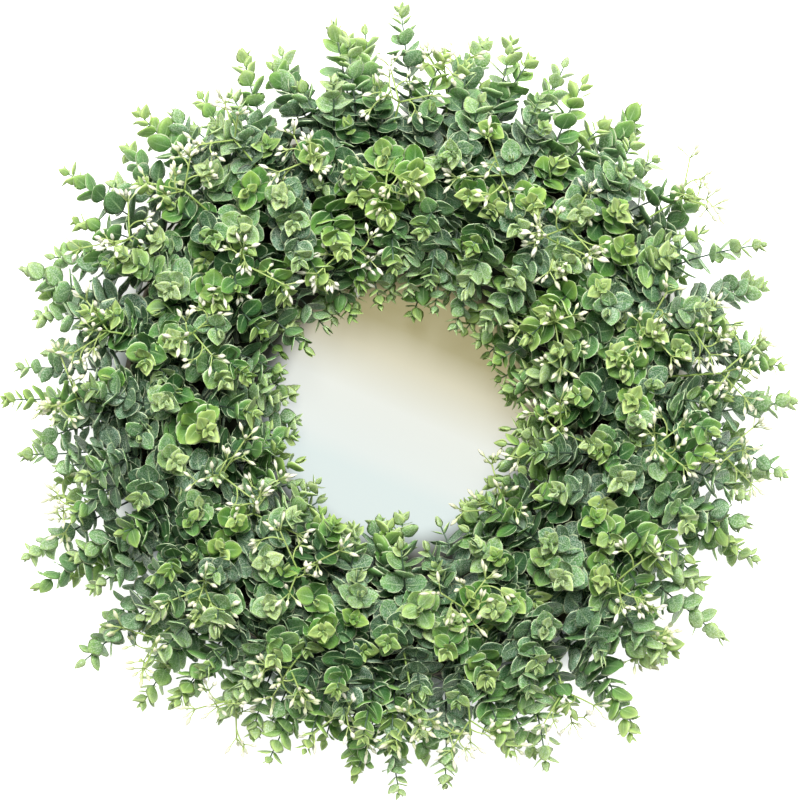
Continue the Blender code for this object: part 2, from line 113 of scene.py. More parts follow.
def pathLength(path):
    # the lengths of the steps from point to point, added up
    return float(np.linalg.norm(np.diff(path, axis=0), axis=1).sum())


def alongPath(path, share):
    # the point and the direction at this share of the path's length: the start of the step that
    # holds it plus what is left of the way, along that step
    steps = np.diff(path, axis=0)
    lengths = np.linalg.norm(steps, axis=1)
    reached = np.concatenate([[0.0], np.cumsum(lengths)])
    place = share * reached[-1]
    k = int(np.clip(np.searchsorted(reached, place) - 1, 0, len(steps) - 1))
    return path[k] + steps[k] * (place - reached[k]) / lengths[k], steps[k] / lengths[k]


def sideOf(axis, tangent, twist):
    # the direction square to the axis, turned by the twist from the ring's tangent:
    # cos(twist) first + sin(twist) (axis x first), where first is the tangent less its part
    # on the axis
    first = unit(tangent - axis * (tangent @ axis))
    return math.cos(twist) * first + math.sin(twist) * np.cross(axis, first)


def nearestOn(run, place):
    # the point of a run of straight stretches that is nearest to the place: on each stretch the
    # share (place - start) . step / step . step, held between 0 and 1, and of those the nearest
    starts, steps = run[:-1], np.diff(run, axis=0)
    share = np.clip(((place - starts) * steps).sum(axis=1) / (steps**2).sum(axis=1), 0.0, 1.0)
    points = starts + share[:, None] * steps
    return points[np.linalg.norm(points - place, axis=1).argmin()]


# The room taken up so far, as coarse tubes and leaves.


def tubeSurface(points, radii, reference, sides=4, cyclic=False, first=90.0):
    # coarse tube: a regular polygon square to the path at each of its points,
    # point + radius (cos a side + sin a over), with two triangles on each side of each step
    points = np.asarray(points, float)
    count = len(points)
    if cyclic:
        steps = unit(np.roll(points, -1, axis=0) - points)
        tangents = unit(steps + np.roll(steps, 1, axis=0))
    else:
        steps = unit(np.diff(points, axis=0))
        tangents = unit(np.vstack([steps[:1], steps[1:] + steps[:-1], steps[-1:]]))
    side = unit(np.cross(tangents, reference))
    over = np.cross(side, tangents)
    turn = np.radians(first) + np.arange(sides) * 2 * math.pi / sides
    section = np.cos(turn)[:, None] * side[:, None] + np.sin(turn)[:, None] * over[:, None]
    corners = points[:, None] + section * np.broadcast_to(radii, count)[:, None, None]
    here = np.arange(count if cyclic else count - 1)[:, None] * sides
    there = (here + sides) % (count * sides)
    ring, further = np.arange(sides), (np.arange(sides) + 1) % sides
    one = np.stack([here + ring, here + further, there + further], axis=-1)
    other = np.stack([here + ring, there + further, there + ring], axis=-1)
    return corners.reshape(-1, 3), np.stack([one, other], axis=2).reshape(-1, 3)


class Room:
    # the coarse pieces placed so far, each with its owner, and a test whether a new one is clear
    def __init__(self):
        self.pieces = []
        self.trees = {}

    def add(self, points, faces, owner=None):
        # one more piece, after which the trees are built anew
        self.pieces.append((points, faces, owner))
        self.trees = {}

    def tree(self, skipped):
        # the search tree of all pieces but those of the owner that is skipped
        if skipped not in self.trees:
            chosen = [piece for piece in self.pieces if piece[2] is None or piece[2] != skipped]
            starts = np.cumsum([0] + [len(points) for points, _, _ in chosen])
            corners = np.vstack([points for points, _, _ in chosen])
            rows = np.vstack([faces + start for (_, faces, _), start in zip(chosen, starts)])
            self.trees[skipped] = BVHTree.FromPolygons(corners.tolist(), rows.tolist())
        return self.trees[skipped]

    def clear(self, points, faces, skipped=None):
        # true where no face of the shape cuts a face of the pieces
        shape = BVHTree.FromPolygons(points.tolist(), faces.tolist())
        return not self.tree(skipped).overlap(shape)


lowering = {"from": 0.045, "to": 0.004, "step": 0.0005, "halvings": 8}


def settled(room, shape):
    # the lowest height at which shape(height) is clear of the room: down from above step by step,
    # and then with the last step halved a few times
    height = lowering["from"]
    while height > lowering["to"] and room.clear(*shape(height)):
        height -= lowering["step"]
    clearAt, blockedAt = height + lowering["step"], height
    for _ in range(lowering["halvings"]):
        middle = (clearAt + blockedAt) / 2
        if room.clear(*shape(middle)):
            clearAt = middle
        else:
            blockedAt = middle
    return clearAt


# Layout of the ring.

vineRing = {
    "radius": 0.165,
    "strands": 6,
    "turns": 2,  # how often a strand winds round the oval on its way round the ring
    "steps": 24,
    "coreSteps": 12,
    "sides": 6,
    "firstCorner": 120.0,  # degrees, so that a flat side lies below
    "caneRadius": 0.0058,
    "ovalWide": 0.030,  # how far a strand swings out and in
    "ovalHigh": 0.011,  # and up and down
    "flatCut": 0.0004,  # how deep the floor cuts into the lowest canes
    "coreOffsets": (-0.0095, 0.0095),
    "coreRadius": 0.0046,
}
# a flat side lies the radius times cos 30 below the middle of a six-sided cane
caneBelow = vineRing["caneRadius"] * math.cos(math.radians(30))
ringMiddle = vineRing["ovalHigh"] + caneBelow - vineRing["flatCut"]


def strandPoints(number, steps):
    # circle round the axis whose radius and height swing round an oval: radius + wide cos w,
    # middle + high sin w, with w = start + turns times the angle
    angle = np.arange(steps) * 2 * math.pi / steps
    wind = 2 * math.pi * number / vineRing["strands"] + vineRing["turns"] * angle
    radius = vineRing["radius"] + vineRing["ovalWide"] * np.cos(wind)
    height = ringMiddle + vineRing["ovalHigh"] * np.sin(wind)
    return np.stack([radius * np.cos(angle), radius * np.sin(angle), height], axis=1)


def corePoints(offset, steps):
    # circle of the ring's radius plus the offset, at the ring's middle height
    angle = np.arange(steps) * 2 * math.pi / steps
    radius = vineRing["radius"] + offset
    height = np.full(steps, ringMiddle)
    return np.stack([radius * np.cos(angle), radius * np.sin(angle), height], axis=1)


def caneLayout(steps, coreSteps, radii=vineRing):
    # each cane's path and radius: the wound strands first, then the canes of the core
    for number in range(vineRing["strands"]):
        yield strandPoints(number, steps), radii["caneRadius"]
    for offset in vineRing["coreOffsets"]:
        yield corePoints(offset, coreSteps), radii["coreRadius"]


def topStrandRadius(angle):
    # radius + wide cos w of the strand that is highest at this angle, with the largest sin w
    starts = 2 * math.pi * np.arange(vineRing["strands"]) / vineRing["strands"]
    winds = starts + vineRing["turns"] * angle
    highest = winds[np.argmax(np.sin(winds))]
    return vineRing["radius"] + vineRing["ovalWide"] * float(np.cos(highest))


# Layout of the bunches.

bunch = {
    "count": 24,
    "stalkRadius": 0.0014,
    "stalkHalf": 0.0185,  # half the stalk's length
    "stalkShift": 0.007,
    "stemRadius": 0.0009,
    "stemEnd": 0.0020,  # how far the coarse stem goes on past the tip pair
    "belowPair": 0.0030,  # how far below its low pair it bends
    "rootLean": 0.6,  # how much of a sprig's place along the stalk its tip keeps
    "bendJitter": 0.008,
    "bareShare": 0.26,  # of the sprig, below its first pair
    "lowSpace": 0.0098,  # from pair to pair low on the sprig
    "tipSpace": 0.0068,  # and at its tip
    "tipReach": 0.0105,  # from the tip pair to the end of the path
    "tipGap": 0.006,  # the least from the pair before to the tip pair
    "rise": (18, 38, 1.5, 6),  # a leaf's, in degrees: low down, more at the tip, power, either way
    "turns": [math.radians(turn) for turn in (0, 14, -14, 28, -28, 42, -42)],
    "roundRim": ((0.0, 0.0), (0.36, 0.48), (0.75, 0.43), (1.0, 0.0), (0.75, -0.43), (0.36, -0.48)),
    "pointedRim": ((0.0, 0.0), (0.46, 0.48), (1.0, 0.0), (0.46, -0.48)),
    "keel": 0.0009,
    "keelAt": 0.52,  # share of the leaf's length
    "cup": 0.05,
    "lowLeaf": 0.0205,
    "tipLeaf": 0.0090,
    "shrink": 2.2,  # the power at which the leaves grow smaller
    "widths": (1.08, 0.45),  # a leaf's against its length low down, and how much less at the tip
    "leafScale": (0.92, 1.06),
}
# radius and height of the tip, radius and height of the bend, where it starts on the stalk from
# one end, -1, to the other, sideways lean, and the share of its length with a low pair
sprigKinds = {
    "inner": ((0.084, 0.094), (0.026, 0.058), (0.122, 0.066), 0.0, 0.013, 0.62),
    "low_outer": ((0.254, 0.272), (0.016, 0.034), (0.214, 0.052), 0.8, 0.020, 0.64),
    "high_outer": ((0.244, 0.266), (0.050, 0.072), (0.202, 0.080), -0.8, 0.024, 0.62),
    "outer_crown": ((0.208, 0.232), (0.086, 0.104), (0.184, 0.074), 0.4, 0.018, 0.62),
    "inner_crown": ((0.132, 0.160), (0.092, 0.109), (0.160, 0.074), -0.4, 0.014, 0.62),
}


def stalkPath(angle, shift, height):
    # three points on a circle of the ring's radius plus the shift, half a stalk apart
    radius = vineRing["radius"] + shift
    turns = angle + np.array([-1.0, 0.0, 1.0]) * bunch["stalkHalf"] / radius
    return np.array([ringPoint(a, radius, height) for a in turns])


def placeStalk(room, number):
    # a bunch's stalk at its share of the full turn, by turns inside and outside the ring's radius,
    # let down until it rests on the canes
    angle = 2 * math.pi * number / bunch["count"]
    shift = bunch["stalkShift"] if number % 2 else -bunch["stalkShift"]
    thick = bunch["stalkRadius"] + wreath["clearance"]

    def shape(height):
        return tubeSurface(stalkPath(angle, shift, height), thick, up)

    return {"angle": angle, "path": stalkPath(angle, shift, settled(room, shape)), "sprigs": []}


def leafSize(share, scale):
    # large and round low on the sprig, small and slim at its tip:
    # length = low - (low - tip) share^shrink, width = length (broad - less share^2)
    low, tip = bunch["lowLeaf"], bunch["tipLeaf"]
    broad, less = bunch["widths"]
    length = (low - (low - tip) * share ** bunch["shrink"]) * scale
    return length, length * (broad - less * share**2)


def coarseLeaf(root, axis, side, length, width, rise, rim, grow=0.0):
    # the rim's points, root + x length out + y width across + cup width (2y)^2 normal, and the
    # keel's point below the middle; all of it is larger by grow for the test for room
    out = math.cos(rise) * side + math.sin(rise) * axis
    across = np.cross(axis, side)
    normal = np.cross(out, across)
    x, y = np.array(rim).T[:, :, None]
    lift = bunch["cup"] * width * (2 * np.abs(y)) ** 2 + grow / 2
    points = root + x * (length + grow) * out + y * (width + grow) * across + lift * normal
    keel = root + bunch["keelAt"] * length * out - (bunch["keel"] + grow / 2) * normal
    return np.vstack([points, keel])


def coarseFaces(rim):
    # below, a triangle from each stretch of the rim to the keel; above, strips from rim to rim
    count = len(rim)
    faces = [((i + 1) % count, i, count) for i in range(count)]
    for k in range(count // 2):
        left, leftNext, right, rightNext = k, k + 1, (count - k) % count, count - k - 1
        if left != right:
            faces.append((left, leftNext, right))
        if leftNext != rightNext:
            faces.append((leftNext, rightNext, right))
    return np.array(faces)


def pairLeaves(path, run, pair, tangent, turn=0.0, grow=0.0):
    # the pair's two coarse leaves, on opposite sides of the stem
    place, axis = alongPath(path, pair["share"])
    root = nearestOn(run, place)
    side = sideOf(axis, tangent, pair["twist"] + turn)
    for sign in (1, -1):
        yield coarseLeaf(root, axis, sign * side, *pair["size"], pair["rise"], pair["rim"], grow)


def leafClear(room, points, rim):
    # true for a leaf above the floor, outside the hole and clear of the room
    low = points[:, 2].min() < wreath["floorGap"]
    inside = np.hypot(points[:, 0], points[:, 1]).min() < wreath["holeRadius"]
    return not low and not inside and room.clear(points, coarseFaces(rim))


def sprigCandidate(rng, kind, pick, compass):
    # a drawn path from the stalk over a bend to the tip, which stays inside the square that the
    # four compass sprigs touch
    tipRadius, tipHeight, bend, start, lean, _ = sprigKinds[kind]
    angle = pick["angle"]
    rootAlong = start * bunch["stalkHalf"]
    root = alongPath(pick["path"], 0.5 + rootAlong / (2 * bunch["stalkHalf"]))[0]
    lateral = rootAlong * bunch["rootLean"] + eitherWay(rng, lean)
    radius = rng.uniform(*tipRadius)
    height = rng.uniform(*tipHeight)
    jitter = eitherWay(rng, bunch["bendJitter"], 3)
    if compass:
        lateral, radius = 0.0, wreath["overall"] / 2 + wreath["compassMore"]
    tip = ringPoint(angle, radius, height, lateral)
    if not compass:
        tip[:2] *= min(1.0, (wreath["overall"] / 2 - wreath["inset"]) / np.abs(tip[:2]).max())
    middle = ringPoint(angle, bend[0], bend[1], (rootAlong + lateral) / 2) + jitter
    return bentPath(root, middle, tip)


def pairShares(length, bare):
    # shares of the length at which pairs stand, closer together towards the tip: each gap is
    # low + (tip - low) times the share reached
    shares = []
    place = bare * length
    while place < length - bunch["tipReach"] - bunch["tipGap"]:
        shares.append(place / length)
        place += bunch["lowSpace"] + (bunch["tipSpace"] - bunch["lowSpace"]) * place / length
    return shares + [1.0 - bunch["tipReach"] / length]


def drawnPairs(rng, shares, leafScale):
    # each pair's place, twist, size and rise: every pair is square to the one before, and the
    # rise is low + more share^power degrees, give or take a few
    low, more, power, sway = bunch["rise"]
    twist = rng.uniform(0, math.pi)
    scale = rng.uniform(*leafScale)
    return [
        {
            "share": share,
            "twist": twist + k * math.pi / 2,
            "size": leafSize(share, scale),
            "rise": math.radians(low + more * share**power + eitherWay(rng, sway)),
        }
        for k, share in enumerate(shares)
    ]


def stemRun(path, carried):
    # the coarse stem: two straight stretches that meet just below the low pair that it carries
    length = pathLength(path)
    end = 1.0 - (bunch["tipReach"] - bunch["stemEnd"]) / length
    shares = (0.0, carried - bunch["belowPair"] / length, end)
    return np.array([alongPath(path, share)[0] for share in shares])


def sprigPairs(room, rng, kind, path, tangent):
    # the sprig's pairs; each one that the solids carry is turned a little at a time until both
    # of its leaves are clear
    shares = pairShares(pathLength(path), bunch["bareShare"])
    low = int(np.argmin(np.abs(np.array(shares) - sprigKinds[kind][-1])))
    run = stemRun(path, shares[low])
    wanted = {low, len(shares) - 1}
    pairs = drawnPairs(rng, shares, bunch["leafScale"])
    for k, pair in enumerate(pairs):
        pair["rim"] = bunch["pointedRim"] if k == len(pairs) - 1 else bunch["roundRim"]
        pair["kept"] = False
        for turn in bunch["turns"] if k in wanted else ():
            leaves = pairLeaves(path, run, pair, tangent, turn, 2 * wreath["clearance"])
            if all(leafClear(room, points, pair["rim"]) for points in leaves):
                pair["twist"] += turn
                pair["kept"] = True
                break
    return pairs, run, len(wanted)


def placeSprig(room, rng, kind, pick, number, compass):
    # of several drawn paths, the one whose stem is clear and whose pairs fit best
    tangent = ringPoint(pick["angle"], 0.0, 0.0, 1.0)
    best, most = None, 0
    for attempt in range(wreath["tries"]):
        path = sprigCandidate(rng, kind, pick, compass)
        pairs, run, wanted = sprigPairs(room, rng, kind, path, tangent)
        fitted = sum(pair["kept"] for pair in pairs)
        stem = tubeSurface(run, bunch["stemRadius"] + wreath["clearance"], tangent)
        if pairs[-1]["kept"] and fitted > most and room.clear(*stem, skipped=number):
            best, most = {"path": path, "run": run, "pairs": pairs, "tangent": tangent}, fitted
        if most == wanted or (best and attempt > wreath["tries"] // 2):
            break
    if best:
        room.add(*tubeSurface(best["run"], bunch["stemRadius"], tangent))
        for pair in best["pairs"]:
            if pair["kept"]:
                for points in pairLeaves(best["path"], best["run"], pair, tangent):
                    room.add(points, coarseFaces(pair["rim"]))
    return best


# Layout of the seed sprays.

seedSpray = {
    "count": 12,
    "sway": 0.09,  # radians, either way
    "reaches": (0.205, 0.150, 0.232, 0.178),
    "reachSway": 0.010,
    "top": 0.089,
    "topSway": (-0.006, 0.004),
    "fall": 1.0,  # how much lower a head stands for each metre further out
    "fallFrom": 0.20,
    "innerFall": 0.6,  # and further in, only for heads nearer the middle than the solids have
    "innerFrom": 0.14,
    "headSway": 0.012,
    # the stem bends at these shares of the knee's and the head's radius, and of the head's height
    "bend": (0.7, 0.3, 0.8),
    "stemRadius": 0.0009,
    "footLength": 0.014,
    "kneeSpace": 0.0022,
    "knotRadius": 0.0013,
    "branches": 3,
    "branchRadius": 0.0006,
    "branchSize": (0.017, 0.027),
    "branchSway": 0.3,
    "branchRoot": 0.7,  # share of the stem's radius
    "branchBend": (0.30, 0.42),  # ahead and aside, as shares of the size
    "branchAhead": 0.75,
    "branchAside": (0.85, 1.15),
    "seeds": 3,
    "seedReach": 0.0125,
    "seedRoot": 0.6,  # share of the branch's radius
    "seedAside": (0.55, 0.85),
    "seedBelly": 0.62,  # share of its length at which a seed is thickest
    "seedRadii": (0.00032, 0.0015, 0.0002),  # at its stalk, belly and point
}


def footEnds(angle, height, past=0.0):
    # the foot's two ends, on the tangent to the highest strand's circle
    radius = topStrandRadius(angle)
    return [ringPoint(angle, radius, height, along) for along in (-seedSpray["footLength"], past)]


def drawnBranch(rng, head, heading, tangent, twist, longer):
    # a branch that parts from the heading, and the coarse seeds that stand round its end
    ahead, bent = seedSpray["branchBend"]
    aside = sideOf(heading, tangent, twist + eitherWay(rng, seedSpray["branchSway"]))
    size = rng.uniform(*seedSpray["branchSize"]) * longer
    away = heading * seedSpray["branchAhead"] + aside * rng.uniform(*seedSpray["branchAside"])
    end = head + size * unit(away)
    middle = head + size * (ahead * heading + bent * aside)
    start = head + seedSpray["branchRoot"] * seedSpray["stemRadius"] * aside
    path = bentPath(start, middle, end, 3)
    way = unit(path[-1] - path[-2])
    whirl = rng.uniform(0, 2 * math.pi)
    seeds = []
    for i in range(seedSpray["seeds"]):
        out = sideOf(way, tangent, whirl + 2 * math.pi * i / seedSpray["seeds"])
        root = end + seedSpray["seedRoot"] * seedSpray["branchRadius"] * out
        reach = seedSpray["seedReach"] * unit(way + rng.uniform(*seedSpray["seedAside"]) * out)
        seeds.append((root, root + reach))
    return {"path": path, "seeds": seeds, "whirl": whirl}


def sprayCandidate(rng, reach, angle, height, fall=seedSpray["fall"], longer=1.0):
    # a foot along the canes, a stem up through the leaves, and branches that part at its head.
    # The head stands at top - fall (reach - fallFrom) - innerFall (innerFrom - reach), where
    # neither bracket counts below 0
    reach += eitherWay(rng, seedSpray["reachSway"])
    top = seedSpray["top"] - fall * max(0.0, reach - seedSpray["fallFrom"])
    top -= seedSpray["innerFall"] * max(0.0, seedSpray["innerFrom"] - reach)
    top += rng.uniform(*seedSpray["topSway"])
    foot, knee = footEnds(angle, height)
    head = ringPoint(angle, reach, top, eitherWay(rng, seedSpray["headSway"]))
    low, far, high = seedSpray["bend"]
    bend = ringPoint(angle, low * topStrandRadius(angle) + far * reach, high * top)
    heading = unit(head - bend)
    tangent = ringPoint(angle, 0.0, 0.0, 1.0)
    turn = rng.uniform(0, 2 * math.pi)
    branches = []
    for k in range(seedSpray["branches"]):
        twist = turn + 2 * math.pi * k / seedSpray["branches"]
        branches.append(drawnBranch(rng, head, heading, tangent, twist, longer))
    stem = np.vstack([foot, bentPath(knee, bend, head, 3)])
    return {"angle": angle, "tangent": tangent, "stem": stem, "bend": bend, "branches": branches}


def sprayShapes(spray, gap, skipped):
    # the spray's coarse tubes, thicker by the gap: its stem from the knee on, each branch and
    # each seed
    stem, tangent = spray["stem"], spray["tangent"]
    first = stem[1] + skipped * unit(stem[2] - stem[1])
    radii = np.array([seedSpray["stemRadius"]] * (len(stem) - 2) + [seedSpray["knotRadius"]])
    yield tubeSurface(np.vstack([first, stem[2:]]), radii + gap, tangent)
    for branch in spray["branches"]:
        radii = np.array([seedSpray["branchRadius"]] * 2 + [seedSpray["knotRadius"]])
        yield tubeSurface(branch["path"], radii + gap, tangent)
        for root, seed in branch["seeds"]:
            belly = root + seedSpray["seedBelly"] * (seed - root)
            radii = np.array(seedSpray["seedRadii"])
            yield tubeSurface([root, belly, seed], radii + gap, np.cross(seed - root, tangent))


def placeSpray(room, rng, number):
    # the first drawn spray of which every tube is clear, with its foot let down on the canes
    gap = wreath["clearance"]
    thick = seedSpray["stemRadius"] + gap
    reach = seedSpray["reaches"][number % len(seedSpray["reaches"])]
    for _ in range(wreath["tries"]):
        angle = 2 * math.pi * (number + 0.5) / seedSpray["count"]
        angle += eitherWay(rng, seedSpray["sway"])

        def foot(height, angle=angle):
            return tubeSurface(footEnds(angle, height, thick), thick, up)

        spray = sprayCandidate(rng, reach, angle, settled(room, foot))
        if all(room.clear(*shape) for shape in sprayShapes(spray, gap, seedSpray["kneeSpace"])):
            room.add(*tubeSurface(spray["stem"][:2], thick, up))
            for shape in sprayShapes(spray, gap, 0.0):
                room.add(*shape)
            return spray
    return None


def wholeLayout():
    # canes, then stalks, then seed sprays, then each bunch's sprigs, each clear of those before
    room = Room()
    sides, corner = vineRing["sides"], vineRing["firstCorner"]
    for points, radius in caneLayout(vineRing["steps"], vineRing["coreSteps"]):
        room.add(*tubeSurface(points, radius, up, sides, cyclic=True, first=corner))
    picks = [placeStalk(room, number) for number in range(bunch["count"])]
    for number, pick in enumerate(picks):
        room.add(*tubeSurface(pick["path"], bunch["stalkRadius"], up), owner=number)
    sprays = [
        placeSpray(room, drawsFor("sprays", number), number) for number in range(seedSpray["count"])
    ]
    for number, pick in enumerate(picks):
        for order, kind in enumerate(sprigKinds):
            rng = drawsFor("sprigs", number, order)
            compass = kind == "high_outer" and number % (bunch["count"] // 4) == 0
            sprig = placeSprig(room, rng, kind, pick, number, compass)
            if sprig:
                pick["sprigs"].append(sprig)
    return picks, [spray for spray in sprays if spray]


picks, sprays = wholeLayout()
sprigCount = sum(len(pick["sprigs"]) for pick in picks)
print("layout:", sprigCount, "sprigs and", len(sprays), "sprays as in the solids")


# Sprigs that only show here, between those of the solids.

filler = {
    "droop": (-0.002, -0.010),  # the foliage hangs a little below the middle of the longest tips
    "leafScale": (0.92, 1.10),
    "bareShare": 0.36,
    "edge": 0.271,
    "sway": 0.045,  # radians, either way
    "rootShare": 0.45,  # how far along the stalk from its middle a sprig at 1 or -1 starts
    "bendTurn": 0.6,  # the bend's share of the tip's turn
    # radius and height of the tip, radius and height of the bend, place across the bunch, -1 to 1
    "kinds": {
        "inner low": ((0.067, 0.086), (0.010, 0.040), (0.108, 0.044), 0.7),
        "inner middle": ((0.069, 0.092), (0.040, 0.072), (0.114, 0.064), -0.5),
        "inner high": ((0.079, 0.108), (0.074, 0.098), (0.130, 0.074), 0.1),
        "crown inside": ((0.112, 0.142), (0.096, 0.114), (0.144, 0.074), 0.75),
        "crown low": ((0.144, 0.172), (0.104, 0.119), (0.164, 0.080), -0.4),
        "crown high": ((0.170, 0.198), (0.100, 0.118), (0.182, 0.080), 0.5),
        "crown outside": ((0.198, 0.226), (0.088, 0.106), (0.198, 0.080), -0.7),
        "outer high": ((0.226, 0.254), (0.064, 0.090), (0.210, 0.082), 0.2),
        "outer middle": ((0.252, 0.294), (0.044, 0.072), (0.214, 0.070), -0.9),
        "outer low": ((0.250, 0.297), (0.014, 0.040), (0.210, 0.048), 0.85),
        "outer lowest": ((0.226, 0.256), (0.008, 0.030), (0.204, 0.036), -0.35),
        "between bunches": ((0.146, 0.184), (0.072, 0.092), (0.165, 0.060), 1.0),
    },
}


def fillSprig(rng, pick, kind):
    # one more sprig: the same curve, pairs and sizes, without the test for room
    tipRadius, tipHeight, bend, offset = filler["kinds"][kind]
    angle = pick["angle"]
    root = alongPath(pick["path"], 0.5 + filler["rootShare"] * offset)[0]
    turn = offset * math.pi / bunch["count"] + eitherWay(rng, filler["sway"])
    tip = ringPoint(angle + turn, rng.uniform(*tipRadius), rng.uniform(*tipHeight))
    tip[:2] += filler["droop"]
    tip[:2] *= min(1.0, filler["edge"] / np.abs(tip[:2]).max())
    middle = ringPoint(angle + filler["bendTurn"] * turn, *bend)
    middle = middle + eitherWay(rng, bunch["bendJitter"], 3)
    path = bentPath(root, middle, tip)
    shares = pairShares(pathLength(path), filler["bareShare"])
    pairs = drawnPairs(rng, shares, filler["leafScale"])
    return {"path": path, "pairs": pairs, "tangent": ringPoint(angle, 0.0, 0.0, 1.0)}


# Meshes and materials.


def linearColour(hexText):
    # sRGB hex to linear: ((c + 0.055) / 1.055)^2.4 above 0.04045, c / 12.92 below
    parts = [int(hexText[i : i + 2], 16) / 255 for i in (1, 3, 5)]
    return (*(c / 12.92 if c <= 0.04045 else ((c + 0.055) / 1.055) ** 2.4 for c in parts), 1.0)


def addNode(tree, kind, settings=None, inputs=()):
    # one node: settings are its properties, and a ramp's stops as (place, hex colour). An input,
    # by place or by name, takes a link from a socket, a hex colour or a plain value. Gives the
    # outputs
    node = tree.nodes.new("ShaderNode" + kind)
    for key, value in (settings or {}).items():
        if key != "stops":
            setattr(node, key, value)
            continue
        for k, (place, colour) in enumerate(value):
            stop = node.color_ramp.elements[k] if k < 2 else node.color_ramp.elements.new(place)
            stop.position, stop.color = place, linearColour(colour)
    for key, value in inputs.items() if isinstance(inputs, dict) else enumerate(inputs):
        if isinstance(value, bpy.types.NodeSocket):
            tree.links.new(value, node.inputs[key])
            continue
        node.inputs[key].default_value = linearColour(value) if isinstance(value, str) else value
    return node.outputs


def newMaterial(name, coat):
    # a material whose surface takes the colour, roughness and so on that coat(tree) gives
    material = bpy.data.materials.new(name)
    material.use_nodes = True
    tree = material.node_tree
    tree.nodes.clear()
    surface = addNode(tree, "BsdfPrincipled", None, coat(tree))[0]
    addNode(tree, "OutputMaterial", None, [surface])
    return material


def newObject(name, data):
    # an object in the scene that shows this mesh, lamp or camera
    item = bpy.data.objects.new(name, data)
    bpy.context.scene.collection.objects.link(item)
    return item


def pieceFrom(name, parts, materials):
    # one object from several (points, faces, place, life) parts; place and life go to point
    # attributes
    starts = np.cumsum([0] + [len(part["points"]) for part in parts])
    mesh = bpy.data.meshes.new(name)
    faces = [face for part, start in zip(parts, starts) for face in part["faces"](start)]
    mesh.from_pydata(np.vstack([part["points"] for part in parts]).tolist(), [], faces)
    slots = np.concatenate([np.full(part["count"], part["slot"]) for part in parts])
    mesh.polygons.foreach_set("material_index", slots.astype(np.int32))
    mesh.polygons.foreach_set("use_smooth", np.ones(len(faces), bool))
    for key in ("place", "life"):
        values = np.vstack([part[key] for part in parts]).astype(np.float32).ravel()
        mesh.attributes.new(key, "FLOAT_VECTOR", "POINT").data.foreach_set("vector", values)
    for material in materials:
        mesh.materials.append(material)
    mesh.update()
    return newObject(name, mesh)


def ringFaces(copies, stations, sides, cyclic=False):
    # quads between neighbouring rings of each copy, and a polygon on each open end
    ring = np.arange(sides)
    further = (ring + 1) % sides
    last = stations if cyclic else stations - 1
    here = np.arange(last)[:, None] * sides
    there = (np.arange(last)[:, None] + 1) % stations * sides
    corners = [here + ring, there + ring, there + further, here + further]
    quads = np.stack(corners, axis=-1).reshape(-1, 4)
    size = stations * sides

    def faces(start):
        shift = start + np.arange(copies)[:, None, None] * size
        rows = (quads[None] + shift).reshape(-1, 4).tolist()
        if not cyclic:
            rows += (ring[None] + shift[:, :, 0]).tolist()
            rows += (ring[::-1][None] + shift[:, :, 0] + size - sides).tolist()
        return rows

    return faces, copies * (len(quads) + (0 if cyclic else 2))


def fieldOf(shape, *values):
    # one vector for every point, from values that may be the same for a whole copy or ring
    return np.stack([np.broadcast_to(value, shape) for value in values], axis=-1).reshape(-1, 3)


def partOf(points, place, life, slot=0, cyclic=False):
    # what pieceFrom takes, from points by copy, ring and place round the ring
    faces, count = ringFaces(*points.shape[:3], cyclic)
    fields = {"points": points.reshape(-1, 3), "place": place, "life": life}
    return fields | {"faces": faces, "count": count, "slot": slot}


# Leaf: cross-sections at stations along its length. Each is a closed loop from the left rim over
# the top to the right rim and back below; its half width is the profile's share of the leaf's.
leafForm = {
    "stations": (0.0, 0.045, 0.16, 0.35, 0.57, 0.78, 0.93, 1.0),
    "roundHalf": (0.06, 0.42, 0.78, 0.97, 1.0, 0.82, 0.45, 0.03),
    "pointedHalf": (0.07, 0.36, 0.74, 0.99, 0.93, 0.60, 0.22, 0.02),
    "across": (-1.0, -0.6, 0.0, 0.6, 1.0, 0.6, 0.0, -0.6),
    "under": (0.5, 0.0, 0.0, 0.0, 0.5, 1.0, 1.0, 1.0),
    "thickness": 0.0005,
    "thinner": 0.6,  # how much of that is gone at the tip
    "shorter": 0.06,  # how much shorter the sides are than the middle
    "hollow": 0.55,  # how deep the cup is lengthwise against its depth across
    "waves": (1.3, 0.2),  # along the leaf, and how much they slant towards the rim
    "curlBack": 0.25,  # how much of the curl is taken back near the foot
    "ageByTint": 0.56,  # how much a leaf's own tint moves its age
    "ageAlong": 0.28,  # how much younger its end is than its foot
}
# the small leaves at the tips have fewer points
smallForm = leafForm | {
    "stations": (0.0, 0.10, 0.32, 0.60, 0.85, 1.0),
    "roundHalf": (0.06, 0.62, 0.96, 0.98, 0.66, 0.03),
    "pointedHalf": (0.07, 0.66, 1.0, 0.80, 0.36, 0.02),
    "across": (-1.0, -0.45, 0.45, 1.0, 0.45, -0.45),
    "under": (0.5, 0.0, 0.0, 0.5, 1.0, 1.0),
    "thickness": 0.0004,
}


def leafFrames(leaves):
    # out = cos(rise) side + sin(rise) axis, swung by the yaw; across and normal turned by the roll
    axis, side = (np.array([leaf[key] for leaf in leaves]) for key in ("axis", "side"))
    rise, yaw, roll = (
        np.array([leaf[key] for leaf in leaves])[:, None] for key in ("rise", "yaw", "roll")
    )
    square = np.cross(axis, side)
    out = np.cos(rise) * side + np.sin(rise) * axis
    swung = np.cos(yaw) * out + np.sin(yaw) * square
    square = np.cos(yaw) * square - np.sin(yaw) * out
    top = np.cross(swung, square)
    across = np.cos(roll) * square + np.sin(roll) * top
    normal = np.cos(roll) * top - np.sin(roll) * square
    return swung[:, None, None], across[:, None, None], normal[:, None, None]


